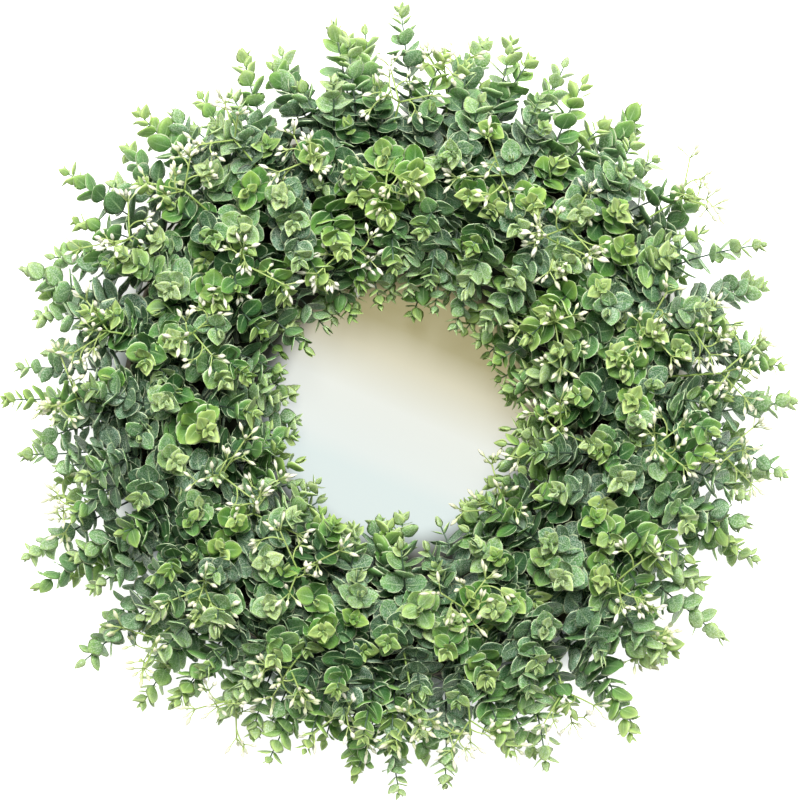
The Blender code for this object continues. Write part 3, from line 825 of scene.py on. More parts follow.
def leafPart(leaves, form):
    # all the leaves at once: root + x out + y across + z normal, where x runs with the station,
    # y is the half width times the place across, and z sums the cup, the wave and the curl
    def column(key):
        return np.array([leaf[key] for leaf in leaves])[:, None, None]

    s = np.array(form["stations"])[:, None]
    t, under = np.array(form["across"]), np.array(form["under"])
    pointed, length, width = column("pointed"), column("length"), column("width")
    half = (1 - pointed) * np.array(form["roundHalf"])[:, None]
    half = half + pointed * np.array(form["pointedHalf"])[:, None]
    x = s * length * (1 - form["shorter"] * np.abs(t) * (1 - s))
    y = half * t * width / 2
    hollow = form["hollow"]
    cup = column("cup") * width * (t**2 * half + hollow * (2 * s - 1) ** 2 - hollow)
    waves, slant = form["waves"]
    swing = np.sin(2 * math.pi * (s * waves + column("phase") + slant * t))
    wave = column("wave") * width * np.abs(t) * swing
    curl = column("curl") * length * (s**2 - form["curlBack"] * s)
    z = cup + wave + curl - under * form["thickness"] * (1 - form["thinner"] * s)
    out, across, normal = leafFrames(leaves)
    root = np.array([leaf["root"] for leaf in leaves])[:, None, None]
    points = root + x[..., None] * out + y[..., None] * across + z[..., None] * normal
    shape = points.shape[:3]
    aged = column("age") + form["ageByTint"] * (column("tint") - 0.5) + form["ageAlong"] * (s - 0.5)
    life = fieldOf(shape, aged, column("dust"), column("bloom"))
    return partOf(points, fieldOf(shape, t, s, under), life)


def tubePart(paths, radii, references, sides, ages, slot, cyclic=False):
    # tubes of equal length at once: path + radius (cos a side + sin a over), square to the path
    paths = np.array(paths, float)
    if cyclic:
        tangents = unit(np.roll(paths, -1, axis=1) - np.roll(paths, 1, axis=1))
    else:
        steps = unit(np.diff(paths, axis=1))
        between = steps[:, 1:] + steps[:, :-1]
        tangents = unit(np.concatenate([steps[:, :1], between, steps[:, -1:]], axis=1))
    side = unit(np.cross(tangents, np.array(references, float)[:, None, :]))
    over = np.cross(side, tangents)
    turn = np.arange(sides) * 2 * math.pi / sides
    section = np.cos(turn)[:, None] * side[:, :, None] + np.sin(turn)[:, None] * over[:, :, None]
    radii = np.broadcast_to(np.array(radii, float), paths.shape[:2])
    points = paths[:, :, None] + section * radii[:, :, None, None]
    shape = points.shape[:3]
    reach = np.linalg.norm(np.diff(paths, axis=1, prepend=paths[:, :1]), axis=-1).cumsum(axis=1)
    reached = (reach / reach[:, -1:])[:, :, None]
    place = fieldOf(shape, turn / (2 * math.pi), reach[:, :, None], reached)
    life = fieldOf(shape, np.array(ages, float).reshape(len(paths), -1, 1), 0.0, 0.0)
    return partOf(points, place, life, slot, cyclic)


# Eucalyptus bunches.

leafLook = {
    "sizes": (0.92, 1.05),
    "cup": (0.04, 0.20),  # how far the sides rise, as a share of the width
    "curl": (-0.20, 0.16),  # how far the tip bends up or back, as a share of the length
    "wave": 0.05,
    "nod": (-0.45, 0.28),  # how far a leaf droops below or rises above its pair, radians
    "yaw": 0.28,
    "roll": 0.48,
    "pointed": (1.2, (-0.2, 0.3)),  # how much more pointed the tip's leaves are, and by chance
    "tintSway": 0.15,
    "rootOut": 0.0004,  # from the middle of the stem
    "budShare": 0.4,  # how many sprigs end in a closed pair
    "bud": (0.0092, 0.0056),
    "budRise": (70, 80),
    "budCup": (0.20, 0.28),
    "budForm": {"curl": 0.22, "pointed": 0.8},
    "openRise": (8, 22),  # how much lower the last pair of an open tip stands, degrees
    # of an open tip's leaves: how far below the end, turn from the pair before, size, rise
    "rosette": ((0.0068, 90, (0.0084, 0.0064), 44), (0.0042, 90, (0.0060, 0.0042), 60)),
    "rosetteShare": 0.97,
    "tipLoose": 0.3,  # how freely a leaf of the last pair stands, and one of the rosette
    "rosetteLoose": 0.4,
    "widestGap": 0.0090,  # a pair goes between where the tip pair stands further off than this
    "betweenShares": (0.4, 0.6),
    "between": (52, (0.0100, 0.0080), 40),
    "broader": 0.22,
    "smallFrom": 0.90,  # share of the sprig from which the leaves have fewer points
    "stemSides": 6,
    "stemPoints": 9,
    "stemShort": 0.0055,  # how far the stem ends before the path
    "stemTaper": 0.38,
    "stalkSides": 8,
    "dusting": (0.50, 0.50),  # both ends of the scale are commoner than the middle
    "bloomFade": 0.75,  # how much of the bloom is gone at the tip
    "rimFrom": (0.225, 0.030),  # sprigs that reach past the first are the rim's, over the second
    "rimDust": 0.15,  # how much more dust there is on them
    # the paler tips of rim sprigs are partly painted backlight, light through the thin leaves
    "rimAgeAndBacklight": (0.34, 0.10),  # how much younger their tips are, and how much older they are in all
    # each pattern: what it is read from, from and to, and what it gives at either end
    "patterns": {
        "patches": ("mottle", 0.38, 0.66, 0.24, 0.80),  # blue-green bloom, about 4 mm wide
        "inward": ("across", 0.15, 0.90, 0.55, 0.0),  # darker in the middle
        # painted shade near the stem: darker towards the leaf's foot, where the leaves crowd together
        "footward": ("along", 0.55, 1.0, 1.0, 0.0),  # and towards the foot
        "midrib": ("across", 0.0, 0.10, 1.0, 0.0),
        "fading": ("along", 0.1, 0.95, 0.75, 0.15),  # of the midrib towards the tip
        "veins": ("slant", 0.0, 0.09, 0.18, 0.0),
        "flock": ("specks", 0.38, 0.76, 0.0, 1.0),  # whitish specks, about 1 mm wide
        "dusted": ("dust", 0.0, 1.0, 0.08, 0.68),  # how much of the flock shows
        "side": ("across", 0.86, 0.95, 0.0, 0.95),  # the flash line
        "end": ("along", 0.95, 1.0, 0.0, 0.85),  # and round the tip
    },
    "mottle": {"Scale": 240.0, "Detail": 2.0},  # 240 to the metre, or one in about 4 mm
    "specks": {"Scale": 1100.0, "Detail": 2.0},  # one in about 1 mm
    "veinSlant": (5.5, -2.6),  # side veins along the leaf, about 2 mm apart, and across it
    "veinHeight": -1.2,  # the veins lie that much lower than the specks stand out
    "underShare": 0.20,
    "relief": {"Strength": 0.35, "Distance": 0.00015},
    # colours from the oldest leaves, deep in the wreath, to the youngest; the near-black end is partly painted
    # shade
    "grown": (
        (0.0, "#0B2A10"),
        (0.22, "#285A22"),
        (0.48, "#689F3E"),
        (0.74, "#A1C85A"),
        (1.0, "#CAE284"),
    ),
    "bloom": "#70A188",
    # the darker green of a leaf's middle, its own colour, also used as painted shade towards its foot
    "middle": "#2A5E2C",
    "lines": "#B7D79A",
    "below": "#7C9F66",
    "powder": "#D8E4D2",
    "rim": "#DEEEC2",
    "stemColours": ((0.0, "#1E2619"), (0.6, "#35443A"), (0.88, "#56705A"), (1.0, "#86AC6A")),
}


def polyethyleneLeaf(tree):
    # moulded polyethylene foliage: satin, a little waxy, lime at the young tips, blue-green low down,
    # a paler flash line along the rim, and dusted with dull whitish flock. The near-black of the oldest
    # leaves deep in the wreath is partly painted shade.
    # place is (across -1 to 1, along 0 to 1, under 0 to 1), life is (age, dust, bloom)
    product, most = {"operation": "MULTIPLY"}, {"operation": "MAXIMUM"}
    soft = {"interpolation_type": "SMOOTHSTEP"}
    point = addNode(tree, "TexCoord")["Object"]
    place, life = (
        addNode(tree, "Attribute", {"attribute_name": name})["Vector"] for name in ("place", "life")
    )
    where, lived = (addNode(tree, "SeparateXYZ", None, [field]) for field in (place, life))
    across = addNode(tree, "Math", {"operation": "ABSOLUTE"}, [where["X"]])[0]
    mottle = addNode(tree, "TexNoise", None, {"Vector": point} | leafLook["mottle"])["Fac"]
    specks = addNode(tree, "TexNoise", None, {"Vector": point} | leafLook["specks"])["Fac"]
    # the side veins slant outwards: a zigzag over so much along plus so much across
    slant = addNode(tree, "Math", product, [where["Y"], leafLook["veinSlant"][0]])[0]
    slanted = [across, leafLook["veinSlant"][1], slant]
    slant = addNode(tree, "Math", {"operation": "MULTIPLY_ADD"}, slanted)[0]
    slant = addNode(tree, "Math", {"operation": "PINGPONG"}, [slant, 0.5])[0]
    read = {"across": across, "along": where["Y"], "dust": lived["Y"]}
    read |= {"mottle": mottle, "specks": specks, "slant": slant}
    shown = {}
    for name, (source, *ends) in leafLook["patterns"].items():
        shown[name] = addNode(tree, "MapRange", soft, [read[source], *ends])[0]
    midrib = addNode(tree, "Math", product, [shown["midrib"], shown["fading"]])[0]
    # what lies over the grown colour and its painted shade, from the bloom up to the flash line
    layers = {
        "bloom": (product, shown["patches"], lived["Z"]),
        # the leaf's own darker middle, and painted shade towards its foot
        "middle": (product, shown["inward"], shown["footward"]),
        "lines": (most, midrib, shown["veins"]),
        "below": (product, where["Z"], leafLook["underShare"]),
        "powder": (product, shown["flock"], shown["dusted"]),
        "rim": (most, shown["side"], shown["end"]),
    }
    body = addNode(tree, "ValToRGB", {"stops": leafLook["grown"]}, [lived["X"]])[0]
    for name, (operation, *factors) in layers.items():
        shown[name] = addNode(tree, "Math", operation, factors)[0]
        mixed = {"Factor": shown[name], 6: body, 7: leafLook[name]}
        body = addNode(tree, "Mix", {"data_type": "RGBA"}, mixed)[2]
    raised = [shown["lines"], leafLook["veinHeight"], specks]
    height = addNode(tree, "Math", {"operation": "MULTIPLY_ADD"}, raised)[0]
    normal = addNode(tree, "Bump", None, leafLook["relief"] | {"Height": height})[0]
    finish = {"Base Color": body, "Normal": normal, "Roughness": 0.46}
    return finish | {"IOR": 1.5, "Specular IOR Level": 0.48}


def polyethyleneStem(tree):
    # moulded polyethylene over wire: dull, dark olive low down, fresher green towards the tip
    life = addNode(tree, "Attribute", {"attribute_name": "life"})["Vector"]
    age = addNode(tree, "SeparateXYZ", None, [life])["X"]
    body = addNode(tree, "ValToRGB", {"stops": leafLook["stemColours"]}, [age])[0]
    return {"Base Color": body, "Roughness": 0.5}


def fineLeaf(rng, place, axis, side, size, rise, share, tone, loose=1.0):
    # one leaf's values; loose is how freely it stands off its pair's pose
    keener, chance = leafLook["pointed"]
    youngerAndBacklit, older = leafLook["rimAgeAndBacklight"]
    return {
        "root": place + leafLook["rootOut"] * side,
        "axis": axis,
        "side": side,
        "length": size[0] * rng.uniform(*leafLook["sizes"]),
        "width": size[1] * rng.uniform(*leafLook["sizes"]),
        "rise": rise + loose * rng.uniform(*leafLook["nod"]),
        "yaw": loose * eitherWay(rng, leafLook["yaw"]),
        "roll": loose * eitherWay(rng, leafLook["roll"]),
        "pointed": held(keener * share**3 + rng.uniform(*chance)),
        "cup": rng.uniform(*leafLook["cup"]),
        "curl": rng.uniform(*leafLook["curl"]),
        "wave": loose * leafLook["wave"] * rng.uniform(0.0, 1.0),
        "phase": rng.uniform(),
        # on rim sprigs the younger, paler tip is partly painted backlight
        "age": share**2 + tone["outer"] * (youngerAndBacklit * share**3 - older),
        "tint": tone["hue"] + eitherWay(rng, leafLook["tintSway"]),
        "dust": tone["dust"],
        "bloom": tone["dust"] * (1 - leafLook["bloomFade"] * share**2),
    }


def sprigTone(rng, reach):
    # hue, dust and how far the sprig belongs to the rim. Some sprigs are heavily dusted and others
    # hardly; those that reach the rim are darker low down and paler at the tip, the paler tip partly
    # painted backlight through the thin leaves
    outer = held((reach - leafLook["rimFrom"][0]) / leafLook["rimFrom"][1])
    tone = {"hue": rng.uniform(0.0, 1.0), "dust": rng.beta(*leafLook["dusting"]), "outer": outer}
    tone["dust"] = min(1.0, tone["dust"] + leafLook["rimDust"] * outer)
    return tone


def fineSprig(rng, sprig, leaves, small, stems):
    # the sprig's whole run of pairs; its tip is a closed bud, or opens as a rosette of small leaves
    path, tangent = sprig["path"], sprig["tangent"]
    length = pathLength(path)
    tone = sprigTone(rng, float(np.hypot(*path[-1][:2])))
    closed = rng.uniform() < leafLook["budShare"]
    for pair in sprig["pairs"]:
        place, axis = alongPath(path, pair["share"])
        side = sideOf(axis, tangent, pair["twist"])
        last = pair is sprig["pairs"][-1]
        share, rise = pair["share"], pair["rise"]
        size = (pair["size"][0], pair["size"][1] + leafLook["broader"] * share**2 * pair["size"][0])
        if last and closed:
            rise, size = math.radians(rng.uniform(*leafLook["budRise"])), leafLook["bud"]
        elif last:
            rise -= math.radians(rng.uniform(*leafLook["openRise"]))
        share = 1.0 if last else share
        loose = leafLook["tipLoose"] if last else 1.0
        for sign in (1, -1):
            leaf = fineLeaf(rng, place, axis, sign * side, size, rise, share, tone, loose)
            if last and closed:
                leaf |= {"cup": rng.uniform(*leafLook["budCup"])} | leafLook["budForm"]
            (small if share > leafLook["smallFrom"] else leaves).append(leaf)
    rosette = () if closed else leafLook["rosette"]
    extra = [(1.0 - above / length, *rest) for above, *rest in rosette]
    lastShares = [pair["share"] for pair in sprig["pairs"][-2:]]
    if (lastShares[-1] - lastShares[0]) * length > leafLook["widestGap"]:
        low, high = leafLook["betweenShares"]
        extra.append((low * lastShares[0] + high * lastShares[-1], *leafLook["between"]))
    share, loose = leafLook["rosetteShare"], leafLook["rosetteLoose"]
    for spot, turn, size, rise in extra:
        place, axis = alongPath(path, spot)
        side = sideOf(axis, side, math.radians(turn))
        rise = math.radians(rise)
        for sign in (1, -1):
            small.append(fineLeaf(rng, place, axis, sign * side, size, rise, share, tone, loose))
    ends = np.linspace(0.0, 1.0 - leafLook["stemShort"] / length, leafLook["stemPoints"])
    radii = bunch["stemRadius"] * (1.0 - leafLook["stemTaper"] * ends)
    stems.append(([alongPath(path, share)[0] for share in ends], radii, tangent, ends))


def makeBunch(number, pick, materials):
    # one piece from the bunch's sprigs and its stalk: all large leaves, all small ones, all stems
    rng = drawsFor("bunches", number)
    sprigs = pick["sprigs"] + [fillSprig(rng, pick, kind) for kind in filler["kinds"]]
    leaves, small, stems = [], [], []
    for sprig in sprigs:
        fineSprig(rng, sprig, leaves, small, stems)
    paths, radii, references, ages = zip(*stems)
    stalk, stalkRadius = bentThrough(*pick["path"]), bunch["stalkRadius"]
    parts = [
        leafPart(leaves, leafForm),
        leafPart(small, smallForm),
        tubePart(paths, radii, references, leafLook["stemSides"], ages, 1),
        tubePart([stalk], [[stalkRadius]], [up], leafLook["stalkSides"], [[0.0]], 1),
    ]
    piece = pieceFrom(f"eucalyptus_bunch_{number + 1:02d}", parts, materials)
    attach(piece, "root")
    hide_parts(f"eucalyptus_pick_{number + 1:02d}")
    return len(leaves) + len(small)


foliageMaterials = [
    newMaterial("moulded polyethylene leaf", polyethyleneLeaf),
    newMaterial("moulded polyethylene stem", polyethyleneStem),
]
leafCount = sum(makeBunch(number, pick, foliageMaterials) for number, pick in enumerate(picks))
print("bunches:", len(picks), "with", leafCount, "leaves")


# Seed sprays.

seedLook = {
    # further sprays that only show here: the angle in degrees and how far out the head stands
    "more": (
        (5, 0.215), (18, 0.185), (30, 0.112), (37, 0.252), (46, 0.172), (62, 0.168),
        (90, 0.165), (92, 0.215), (105, 0.108), (120, 0.205), (137, 0.135), (150, 0.222),
        (166, 0.208), (182, 0.222), (200, 0.137), (214, 0.135), (226, 0.236), (240, 0.133),
        (243, 0.236), (258, 0.226), (270, 0.222), (284, 0.222), (302, 0.232), (316, 0.110),
        (317, 0.190), (346, 0.112), (350, 0.218),
    ),
    "footHeight": 0.0330,
    "fall": 0.45,  # how much lower a head stands for each metre further out
    "longer": 1.3,  # their branches against those of the others
    "flare": 0.5,  # how much further the seeds stand out from their stalk
    "umbel": (4, 5),  # seeds in an umbel
    "seedSway": 0.3,
    "seedAside": (0.3, 1.5),
    "reach": (0.0090, 0.0118),
    "girth": (0.85, 1.1),
    "offLevel": 0.1,  # so that no seed points the way that its own sides are measured from
    "ripeness": (0.15, 1.0),
    "sides": 6,
    "footShare": 0.6,  # the foot has one more point, this far along it
    "stemPoints": 9,
    "linePoints": 11,
    "forkPoints": 7,
    "forkShare": (0.25, 0.5),  # where on its branch the first fork leaves
    "forkMore": 0.3,  # how much further on the next one does
    "forkTurn": 2.4,  # and how far round, radians
    "forkSize": (0.008, 0.016),
    "forkBend": (0.5, 0.35),  # ahead and aside, as shares of the size
    "forkWhirl": 6.28,  # its umbel is turned by up to this, radians
    # radius and age at both ends of each kind of stalk
    "stem": ((0.00095, 0.0007), (0.0, 0.6)),
    "branch": ((0.00068, 0.00056), (0.6, 1.0)),
    "fork": ((0.00058, 0.00050), (0.7, 1.0)),
    # radius along a seed on its thin stalk, as (share of the length, metres)
    "profile": (
        (0.0, 0.00042),
        (0.48, 0.00040),
        (0.58, 0.00108),
        (0.71, 0.00150),
        (0.85, 0.00108),
        (1.0, 0.00012),
    ),
    "stalkColours": ((0.0, "#728F46"), (0.6, "#9DB864"), (1.0, "#B9CC7E")),
    # from a seed's stalk to its point, ripe and unripe
    "ripe": (
        (0.0, "#B9CE82"),
        (0.47, "#C8D894"),
        (0.56, "#F7F5E2"),
        (0.86, "#FFFDF3"),
        (1.0, "#EDE4CA"),
    ),
    "unripe": (
        (0.0, "#A3BD68"),
        (0.50, "#B4C777"),
        (0.66, "#D6DEA2"),
        (0.86, "#EEEDCB"),
        (1.0, "#E2DCB0"),
    ),
}


def polyethyleneStalk(tree):
    # thin yellow-green runners of moulded polyethylene, a little glossy; paler towards the seeds
    life = addNode(tree, "Attribute", {"attribute_name": "life"})["Vector"]
    age = addNode(tree, "SeparateXYZ", None, [life])["X"]
    body = addNode(tree, "ValToRGB", {"stops": seedLook["stalkColours"]}, [age])[0]
    return {"Base Color": body, "Roughness": 0.45}


def paintedSeed(tree):
    # seed beads painted cream over green plastic: the thin stalk stays green, the bead is matt and
    # a little browner at its point; on unripe sprays the green shows through.
    # place is (round, metres along, share along), life is (ripeness, 0, 0)
    place, life = (
        addNode(tree, "Attribute", {"attribute_name": name})["Vector"] for name in ("place", "life")
    )
    along = addNode(tree, "SeparateXYZ", None, [place])["Z"]
    ripeness = addNode(tree, "SeparateXYZ", None, [life])["X"]
    unripe = addNode(tree, "ValToRGB", {"stops": seedLook["unripe"]}, [along])[0]
    ripe = addNode(tree, "ValToRGB", {"stops": seedLook["ripe"]}, [along])[0]
    mixed = {"Factor": ripeness, 6: unripe, 7: ripe}
    body = addNode(tree, "Mix", {"data_type": "RGBA"}, mixed)[2]
    return {"Base Color": body, "Roughness": 0.6}


def umbelSeeds(rng, line, tangent, whirl, given):
    # four or five seeds round the end of a stalk: those of the solids first, then more between
    # them, each pointing along the stalk plus 0.3 to 1.5 times a direction square to it
    way = unit(line[-1] - line[-2])
    seeds = [tip - root for root, tip in given]
    seeds = [reach + seedLook["flare"] * (reach - way * (reach @ way)) for reach in seeds]
    fewest, most = seedLook["umbel"]
    for i in range(int(rng.integers(fewest, most + 1)) - len(seeds)):
        turn = whirl + math.pi / seedSpray["seeds"] + 2 * math.pi * i / seedSpray["seeds"]
        out = sideOf(way, tangent, turn + eitherWay(rng, seedLook["seedSway"]))
        size = rng.uniform(*seedLook["reach"])
        seeds.append(size * unit(way + rng.uniform(*seedLook["seedAside"]) * out))
    return [(line[-1], reach) for reach in seeds]


def forkStalk(rng, line, share, twist, tangent):
    # a side stalk: it leaves the branch at this share of its length, along the branch and then out
    root, heading = alongPath(line, share)
    out = sideOf(heading, tangent, twist)
    size = rng.uniform(*seedLook["forkSize"])
    ahead, aside = seedLook["forkBend"]
    middle = root + size * (ahead * heading + aside * out)
    return bentPath(root, middle, root + size * unit(ahead * heading + out), seedLook["forkPoints"])


def makeSpray(number, spray, node, materials):
    # tubes along the stem, its branches and their forks, and one of each seed's profile
    rng = drawsFor("seeds", number)
    tangent = spray["tangent"]
    foot, knee, head = spray["stem"][0], spray["stem"][1], spray["stem"][-1]
    share = seedLook["footShare"]
    rising = bentPath(knee, spray["bend"], head, seedLook["stemPoints"])
    stalks = [("stem", np.vstack([foot, foot * (1 - share) + knee * share, rising]))]
    seeds = []
    for k, branch in enumerate(spray["branches"]):
        line = bentThrough(*branch["path"], seedLook["linePoints"])
        stalks.append(("branch", line))
        seeds += umbelSeeds(rng, line, tangent, branch["whirl"], branch["seeds"])
        twist = rng.uniform(0, 2 * math.pi)
        for i in range(1 + k % 2):
            share = rng.uniform(*seedLook["forkShare"]) + seedLook["forkMore"] * i
            fork = forkStalk(rng, line, share, twist + seedLook["forkTurn"] * i, tangent)
            stalks.append(("fork", fork))
            whirl = rng.uniform(0, seedLook["forkWhirl"])
            seeds += umbelSeeds(rng, fork, tangent, whirl, [])
    shares, radii = np.array(seedLook["profile"]).T
    paths = np.array([root + shares[:, None] * reach for root, reach in seeds])
    level = tangent + seedLook["offLevel"] * up
    across = np.array([np.cross(reach, level) for _, reach in seeds])
    girth = radii[None] * rng.uniform(*seedLook["girth"], (len(seeds), 1))
    parts = []
    square = np.cross(tangent, up)
    for kind, path in stalks:
        radius, age = (np.linspace(*ends, len(path)) for ends in seedLook[kind])
        parts.append(tubePart([path], [radius], [square], seedLook["sides"], [age], 0))
    ripeness = np.full((len(seeds), 1), rng.uniform(*seedLook["ripeness"]))
    parts.append(tubePart(paths, girth, across, seedLook["sides"], ripeness, 1))
    piece = pieceFrom(f"seed_spray_stalks_{number + 1:02d}", parts, materials)
    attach(piece, "root")
    if node:
        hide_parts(node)
    return len(seeds)


def moreSprays():
    # sprays between those of the solids, where the photograph shows clusters, with their feet on
    # the highest strand as well
    height, fall, longer = (seedLook[key] for key in ("footHeight", "fall", "longer"))
    for number, (degrees, reach) in enumerate(seedLook["more"]):
        rng = drawsFor("more", number)
        yield sprayCandidate(rng, reach, math.radians(degrees), height, fall, longer)


sprayMaterials = [
    newMaterial("moulded polyethylene spray stalk", polyethyleneStalk),
    newMaterial("painted plastic seed", paintedSeed),
]
allSprays = [(spray, f"seed_spray_{number + 1:02d}") for number, spray in enumerate(sprays)]
allSprays += [(spray, None) for spray in moreSprays()]
seedCount = 0
for number, (spray, node) in enumerate(allSprays):
    seedCount += makeSpray(number, spray, node, sprayMaterials)
print("sprays:", len(allSprays), "with", seedCount, "seeds")


# Grapevine ring.

barkLook = {
    "steps": 216,
    "sides": 12,
    "caneRadius": 0.0055,
    "coreRadius": 0.0044,
    "wander": (0.06, 5, 13),  # share of the radius, and two counts of waves along the cane
    "knots": 7,  # on each cane
    "knotRise": 0.16,
    "knotSharpness": 300,
    "thin": 5,  # thin tendrils wound among the canes
    "tendrilRadius": 0.0020,
    "tendrilSwing": (0.0030, 5),  # up and down, and how often on the way round
    "tendrilLow": 0.0030,
    "stretch": 14.0,  # how much longer than wide the strips of the bark are
    "lightness": (1.55, 2.45),
    "grain": {"Scale": 0.75, "Detail": 4.0, "Roughness": 0.7},
    "patches": {"Scale": 45.0, "Detail": 3.0},
    "relief": {"Strength": 0.8, "Distance": 0.001},
    "colours": ((0.30, "#2C231A"), (0.44, "#574A3C"), (0.58, "#7F7361"), (0.76, "#A89C8A")),
}


def grapevineBark(tree):
    # dried grapevine: grey-brown bark that splits lengthwise into strips about 1 mm wide, matt.
    # The pattern lies on the cane's girth and, bent to a circle, on its length, in millimetres.
    # place is (girth x, girth y, length x), life is (length y, lightness of the cane, 0)
    place, life = (
        addNode(tree, "Attribute", {"attribute_name": name})["Vector"] for name in ("place", "life")
    )
    lived = addNode(tree, "SeparateXYZ", None, [life])
    grain = {"Vector": place, "W": lived["X"]} | barkLook["grain"]
    strips = addNode(tree, "TexNoise", {"noise_dimensions": "4D"}, grain)["Fac"]
    point = addNode(tree, "TexCoord")["Object"]
    patches = addNode(tree, "TexNoise", None, {"Vector": point} | barkLook["patches"])["Fac"]
    bark = addNode(tree, "ValToRGB", {"stops": barkLook["colours"]}, [strips])[0]
    lightness = addNode(tree, "Math", {"operation": "MULTIPLY"}, [patches, lived["Y"]])[0]
    shaded = addNode(tree, "VectorMath", {"operation": "SCALE"}, {0: bark, "Scale": lightness})[0]
    relief = addNode(tree, "Bump", None, barkLook["relief"] | {"Height": strips})[0]
    return {"Base Color": shaded, "Normal": relief, "Roughness": 0.85}


def makeCane(name, node, path, radius, rng, material):
    # cane: a closed tube, cut flat at the floor. Its radius wanders as the product of two waves and
    # swells at each knot by rise e^(-(sharpness times the way from it)^2 / 8)
    steps, sides = len(path), barkLook["sides"]
    spot = np.arange(steps) / steps
    share, slow, fast = barkLook["wander"]
    wave = share * np.sin(2 * math.pi * (slow * spot + rng.uniform()))
    girth = 1.0 + wave * np.sin(2 * math.pi * fast * spot)
    for knot in rng.uniform(0, 1, barkLook["knots"]):
        away = np.abs((spot - knot + 0.5) % 1 - 0.5)
        girth += barkLook["knotRise"] * np.exp(-((away * barkLook["knotSharpness"]) ** 2) / 8)
    part = tubePart([path], [radius * girth], [up], sides, [[0.0]], 0, cyclic=True)
    part["points"][:, 2] = np.maximum(part["points"][:, 2], 0.0)
    turn = np.arange(sides) * 2 * math.pi / sides
    girthX, girthY = 1000 * radius * np.cos(turn), 1000 * radius * np.sin(turn)
    run = 1000 * pathLength(path) / (2 * math.pi * barkLook["stretch"])
    lengthX, lengthY = run * np.cos(2 * math.pi * spot), run * np.sin(2 * math.pi * spot)
    lightness = rng.uniform(*barkLook["lightness"])
    part["place"] = fieldOf((steps, sides), girthX, girthY, lengthX[:, None])
    part["life"] = fieldOf((steps, sides), lengthY[:, None], lightness, 0.0)
    piece = pieceFrom(name, [part], [material])
    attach(piece, "root")
    if node:
        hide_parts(node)


bark = newMaterial("dried grapevine bark", grapevineBark)
caneRng = drawsFor("canes")
canes = list(caneLayout(barkLook["steps"], barkLook["steps"], barkLook))
for number, (canePath, caneRadius) in enumerate(canes, 1):
    makeCane(f"cane_{number}", f"vine_{number}", canePath, caneRadius, caneRng, bark)
for number in range(barkLook["thin"]):
    # a thin tendril in the hollow between two strands, that swings up and down a little
    tendril = strandPoints(number + 0.5, barkLook["steps"])
    swing, waves = barkLook["tendrilSwing"]
    spots = np.arange(barkLook["steps"]) * 2 * math.pi * waves / barkLook["steps"]
    tendril[:, 2] = np.maximum(tendril[:, 2] + swing * np.sin(spots), barkLook["tendrilLow"])
    makeCane(f"tendril_{number + 1}", None, tendril, barkLook["tendrilRadius"], caneRng, bark)
print("ring:", len(canes), "canes,", barkLook["thin"], "tendrils")


# Floor, light and camera.

studio = {
    "floorSize": 6.0,
    "cameraHeight": 1.66,
    "sensor": 36.0,  # millimetres
    "span": 0.560,  # metres across the picture at the height of the longest tips
    "tipHeight": 0.060,
    "walls": 0.22,
    "ceiling": 0.10,
    "ceilingFrom": (0.10, 0.45),  # heights of the direction looked in, from walls to ceiling
    "groundFrom": (-0.02, 0.0),  # and from the ground to the walls
    "sky": "#FAFBF8",
    "key": 77.5,
    "keySize": 1.0,
    "keyPlace": (0.05, 0.85, 2.05),
    "keyColour": "#FCFCF8",
    "holeMiddle": (0.0, 0.010, 0.0),  # from the hole's middle to the ring's
    "glareFrom": (0.19, 0.23),
    "holeTo": (0.082, 0.106),
    # which way and how far the painted shadow in the hole darkens, towards the upper right
    "towardsPaintedShadow": (0.4, 0.9, 0.0),
    "paintedShadowReach": (-0.050, 0.060),
    # painted shade: the board's grey under the ring, seen through gaps in the foliage
    "shade": "#5E5E5A",
    # painted light and shadow, glowing in the hole: lit and pale at its lower left, the wreath's shadow at its
    # upper right
    "holeLightAndShadow": (
        (0.0, "#CBD8D8"),
        (0.14, "#D4DBD9"),
        (0.46, "#D7DAD4"),
        (0.76, "#C6C0A6"),
        (0.96, "#A69D74"),
    ),
}


def glowingBoardWithPaintedShade(tree):
    # white painted board, matt: it glows white round the wreath, and in the hole it glows softly with
    # painted light and shadow, cool and pale at the lower left, warm and dim at the upper right where
    # the wreath's shadow falls; under the ring it is painted shade grey
    soft = {"interpolation_type": "SMOOTHSTEP"}
    point = addNode(tree, "TexCoord")["Object"]
    moved = {"Vector": point, "Location": studio["holeMiddle"]}
    centred = addNode(tree, "Mapping", None, moved)[0]
    reach = addNode(tree, "VectorMath", {"operation": "LENGTH"}, [centred])["Value"]
    glare = addNode(tree, "MapRange", soft, [reach, *studio["glareFrom"]])[0]
    inHole = addNode(tree, "MapRange", soft, [reach, *studio["holeTo"], 1.0, 0.0])[0]
    towards = [centred, studio["towardsPaintedShadow"]]
    shadowSide = addNode(tree, "VectorMath", {"operation": "DOT_PRODUCT"}, towards)["Value"]
    shadowSide = addNode(tree, "MapRange", None, [shadowSide, *studio["paintedShadowReach"]])[0]
    tint = addNode(tree, "ValToRGB", {"stops": studio["holeLightAndShadow"]}, [shadowSide])[0]
    # round the wreath both are white; inside, the glow carries painted light and shadow and the paint is
    # painted shade grey
    paintedGlow, shadedPaint = (
        addNode(tree, "Mix", {"data_type": "RGBA"}, {"Factor": glare, 6: inner, 7: "#FFFFFF"})[2]
        for inner in (tint, studio["shade"])
    )
    strength = addNode(tree, "Math", {"operation": "MAXIMUM"}, [glare, inHole])[0]
    finish = {"Base Color": shadedPaint, "Roughness": 0.9}
    return finish | {"Emission Color": paintedGlow, "Emission Strength": strength}


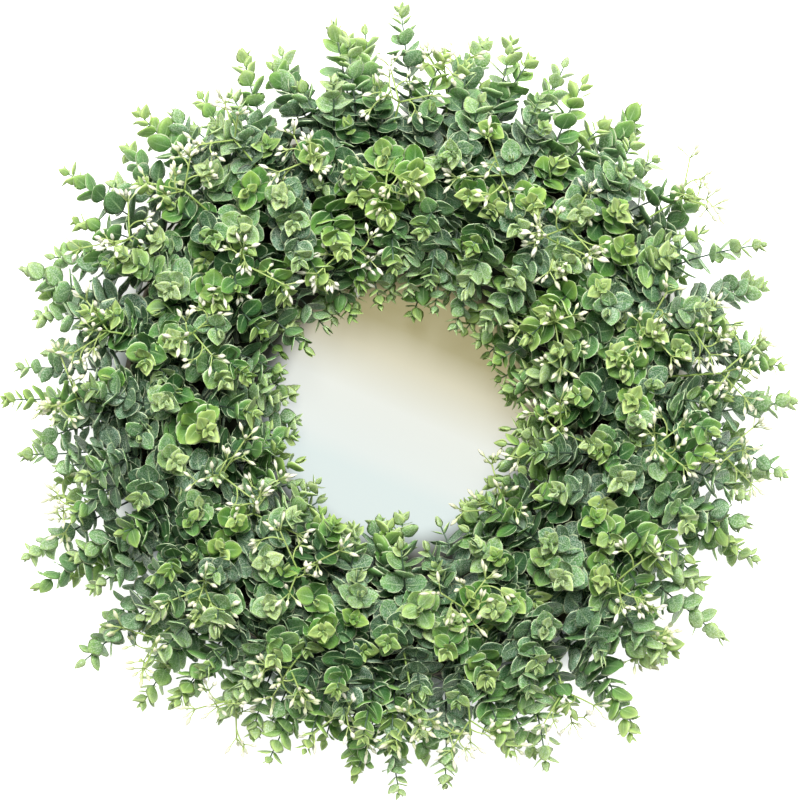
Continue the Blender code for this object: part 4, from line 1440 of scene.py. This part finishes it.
def makeFloor():
    # a square board at height 0: its corners at plus and minus half its size
    half = studio["floorSize"] / 2
    corners = [(-half, -half, 0), (half, -half, 0), (half, half, 0), (-half, half, 0)]
    mesh = bpy.data.meshes.new("studio_floor")
    mesh.from_pydata(corners, [], [(0, 1, 2, 3)])
    mesh.materials.append(newMaterial("white board with painted glow and shade", glowingBoardWithPaintedShade))
    floor = newObject("studio_floor", mesh)
    floor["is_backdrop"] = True


def makeLamp(name, place, size, power, colour):
    # a square lamp of this many watts that looks at the floor's middle: tilted by
    # atan2(distance along the floor, height) and turned by atan2(y, x) - 90 degrees
    data = bpy.data.lights.new(name, "AREA")
    data.shape = "SQUARE"
    data.size = size
    data.energy = power
    data.color = linearColour(colour)[:3]
    lamp = newObject(name, data)
    lamp.location = place
    x, y, z = -np.array(place)
    lamp.rotation_euler = (math.atan2(math.hypot(x, y), -z), 0.0, math.atan2(y, x) - math.pi / 2)


def makeStudio():
    # pale walls round about, a dimmer ceiling above them and a white ground beyond the floor: the
    # strength falls with the height of the direction looked in
    world = bpy.data.worlds.new("studio")
    world.use_nodes = True
    tree = world.node_tree
    tree.nodes.clear()
    direction = addNode(tree, "TexCoord")["Generated"]
    height = addNode(tree, "SeparateXYZ", None, [direction])["Z"]
    fading = [height, *studio["ceilingFrom"], studio["walls"], studio["ceiling"]]
    walls = addNode(tree, "MapRange", None, fading)[0]
    ground = addNode(tree, "MapRange", None, [height, *studio["groundFrom"], 1.0, 0.0])[0]
    strength = addNode(tree, "Math", {"operation": "MAXIMUM"}, [walls, ground])[0]
    sky = addNode(tree, "Background", None, {"Color": studio["sky"], "Strength": strength})[0]
    addNode(tree, "OutputWorld", None, [sky])
    bpy.context.scene.world = world
    makeLamp("key", studio["keyPlace"], studio["keySize"], studio["key"], studio["keyColour"])
    bpy.context.scene.view_settings.view_transform = "Standard"


def makeCamera():
    # looks straight down; its lens is the sensor's width times the distance / the span
    data = bpy.data.cameras.new("camera")
    far = studio["cameraHeight"] - studio["tipHeight"]
    data.sensor_width = studio["sensor"]
    data.lens = studio["sensor"] * far / studio["span"]
    camera = newObject("camera", data)
    camera.location = (0.0, 0.0, studio["cameraHeight"])
    bpy.context.scene.camera = camera


makeFloor()
makeStudio()
makeCamera()

sizes = {"cad": [list(corner) for corner in cadBounds], "visual": [list(corner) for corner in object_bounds()]}
print("sizes in mm:", [[round(1000 * v, 1) for v in corner] for box in sizes.values() for corner in box])
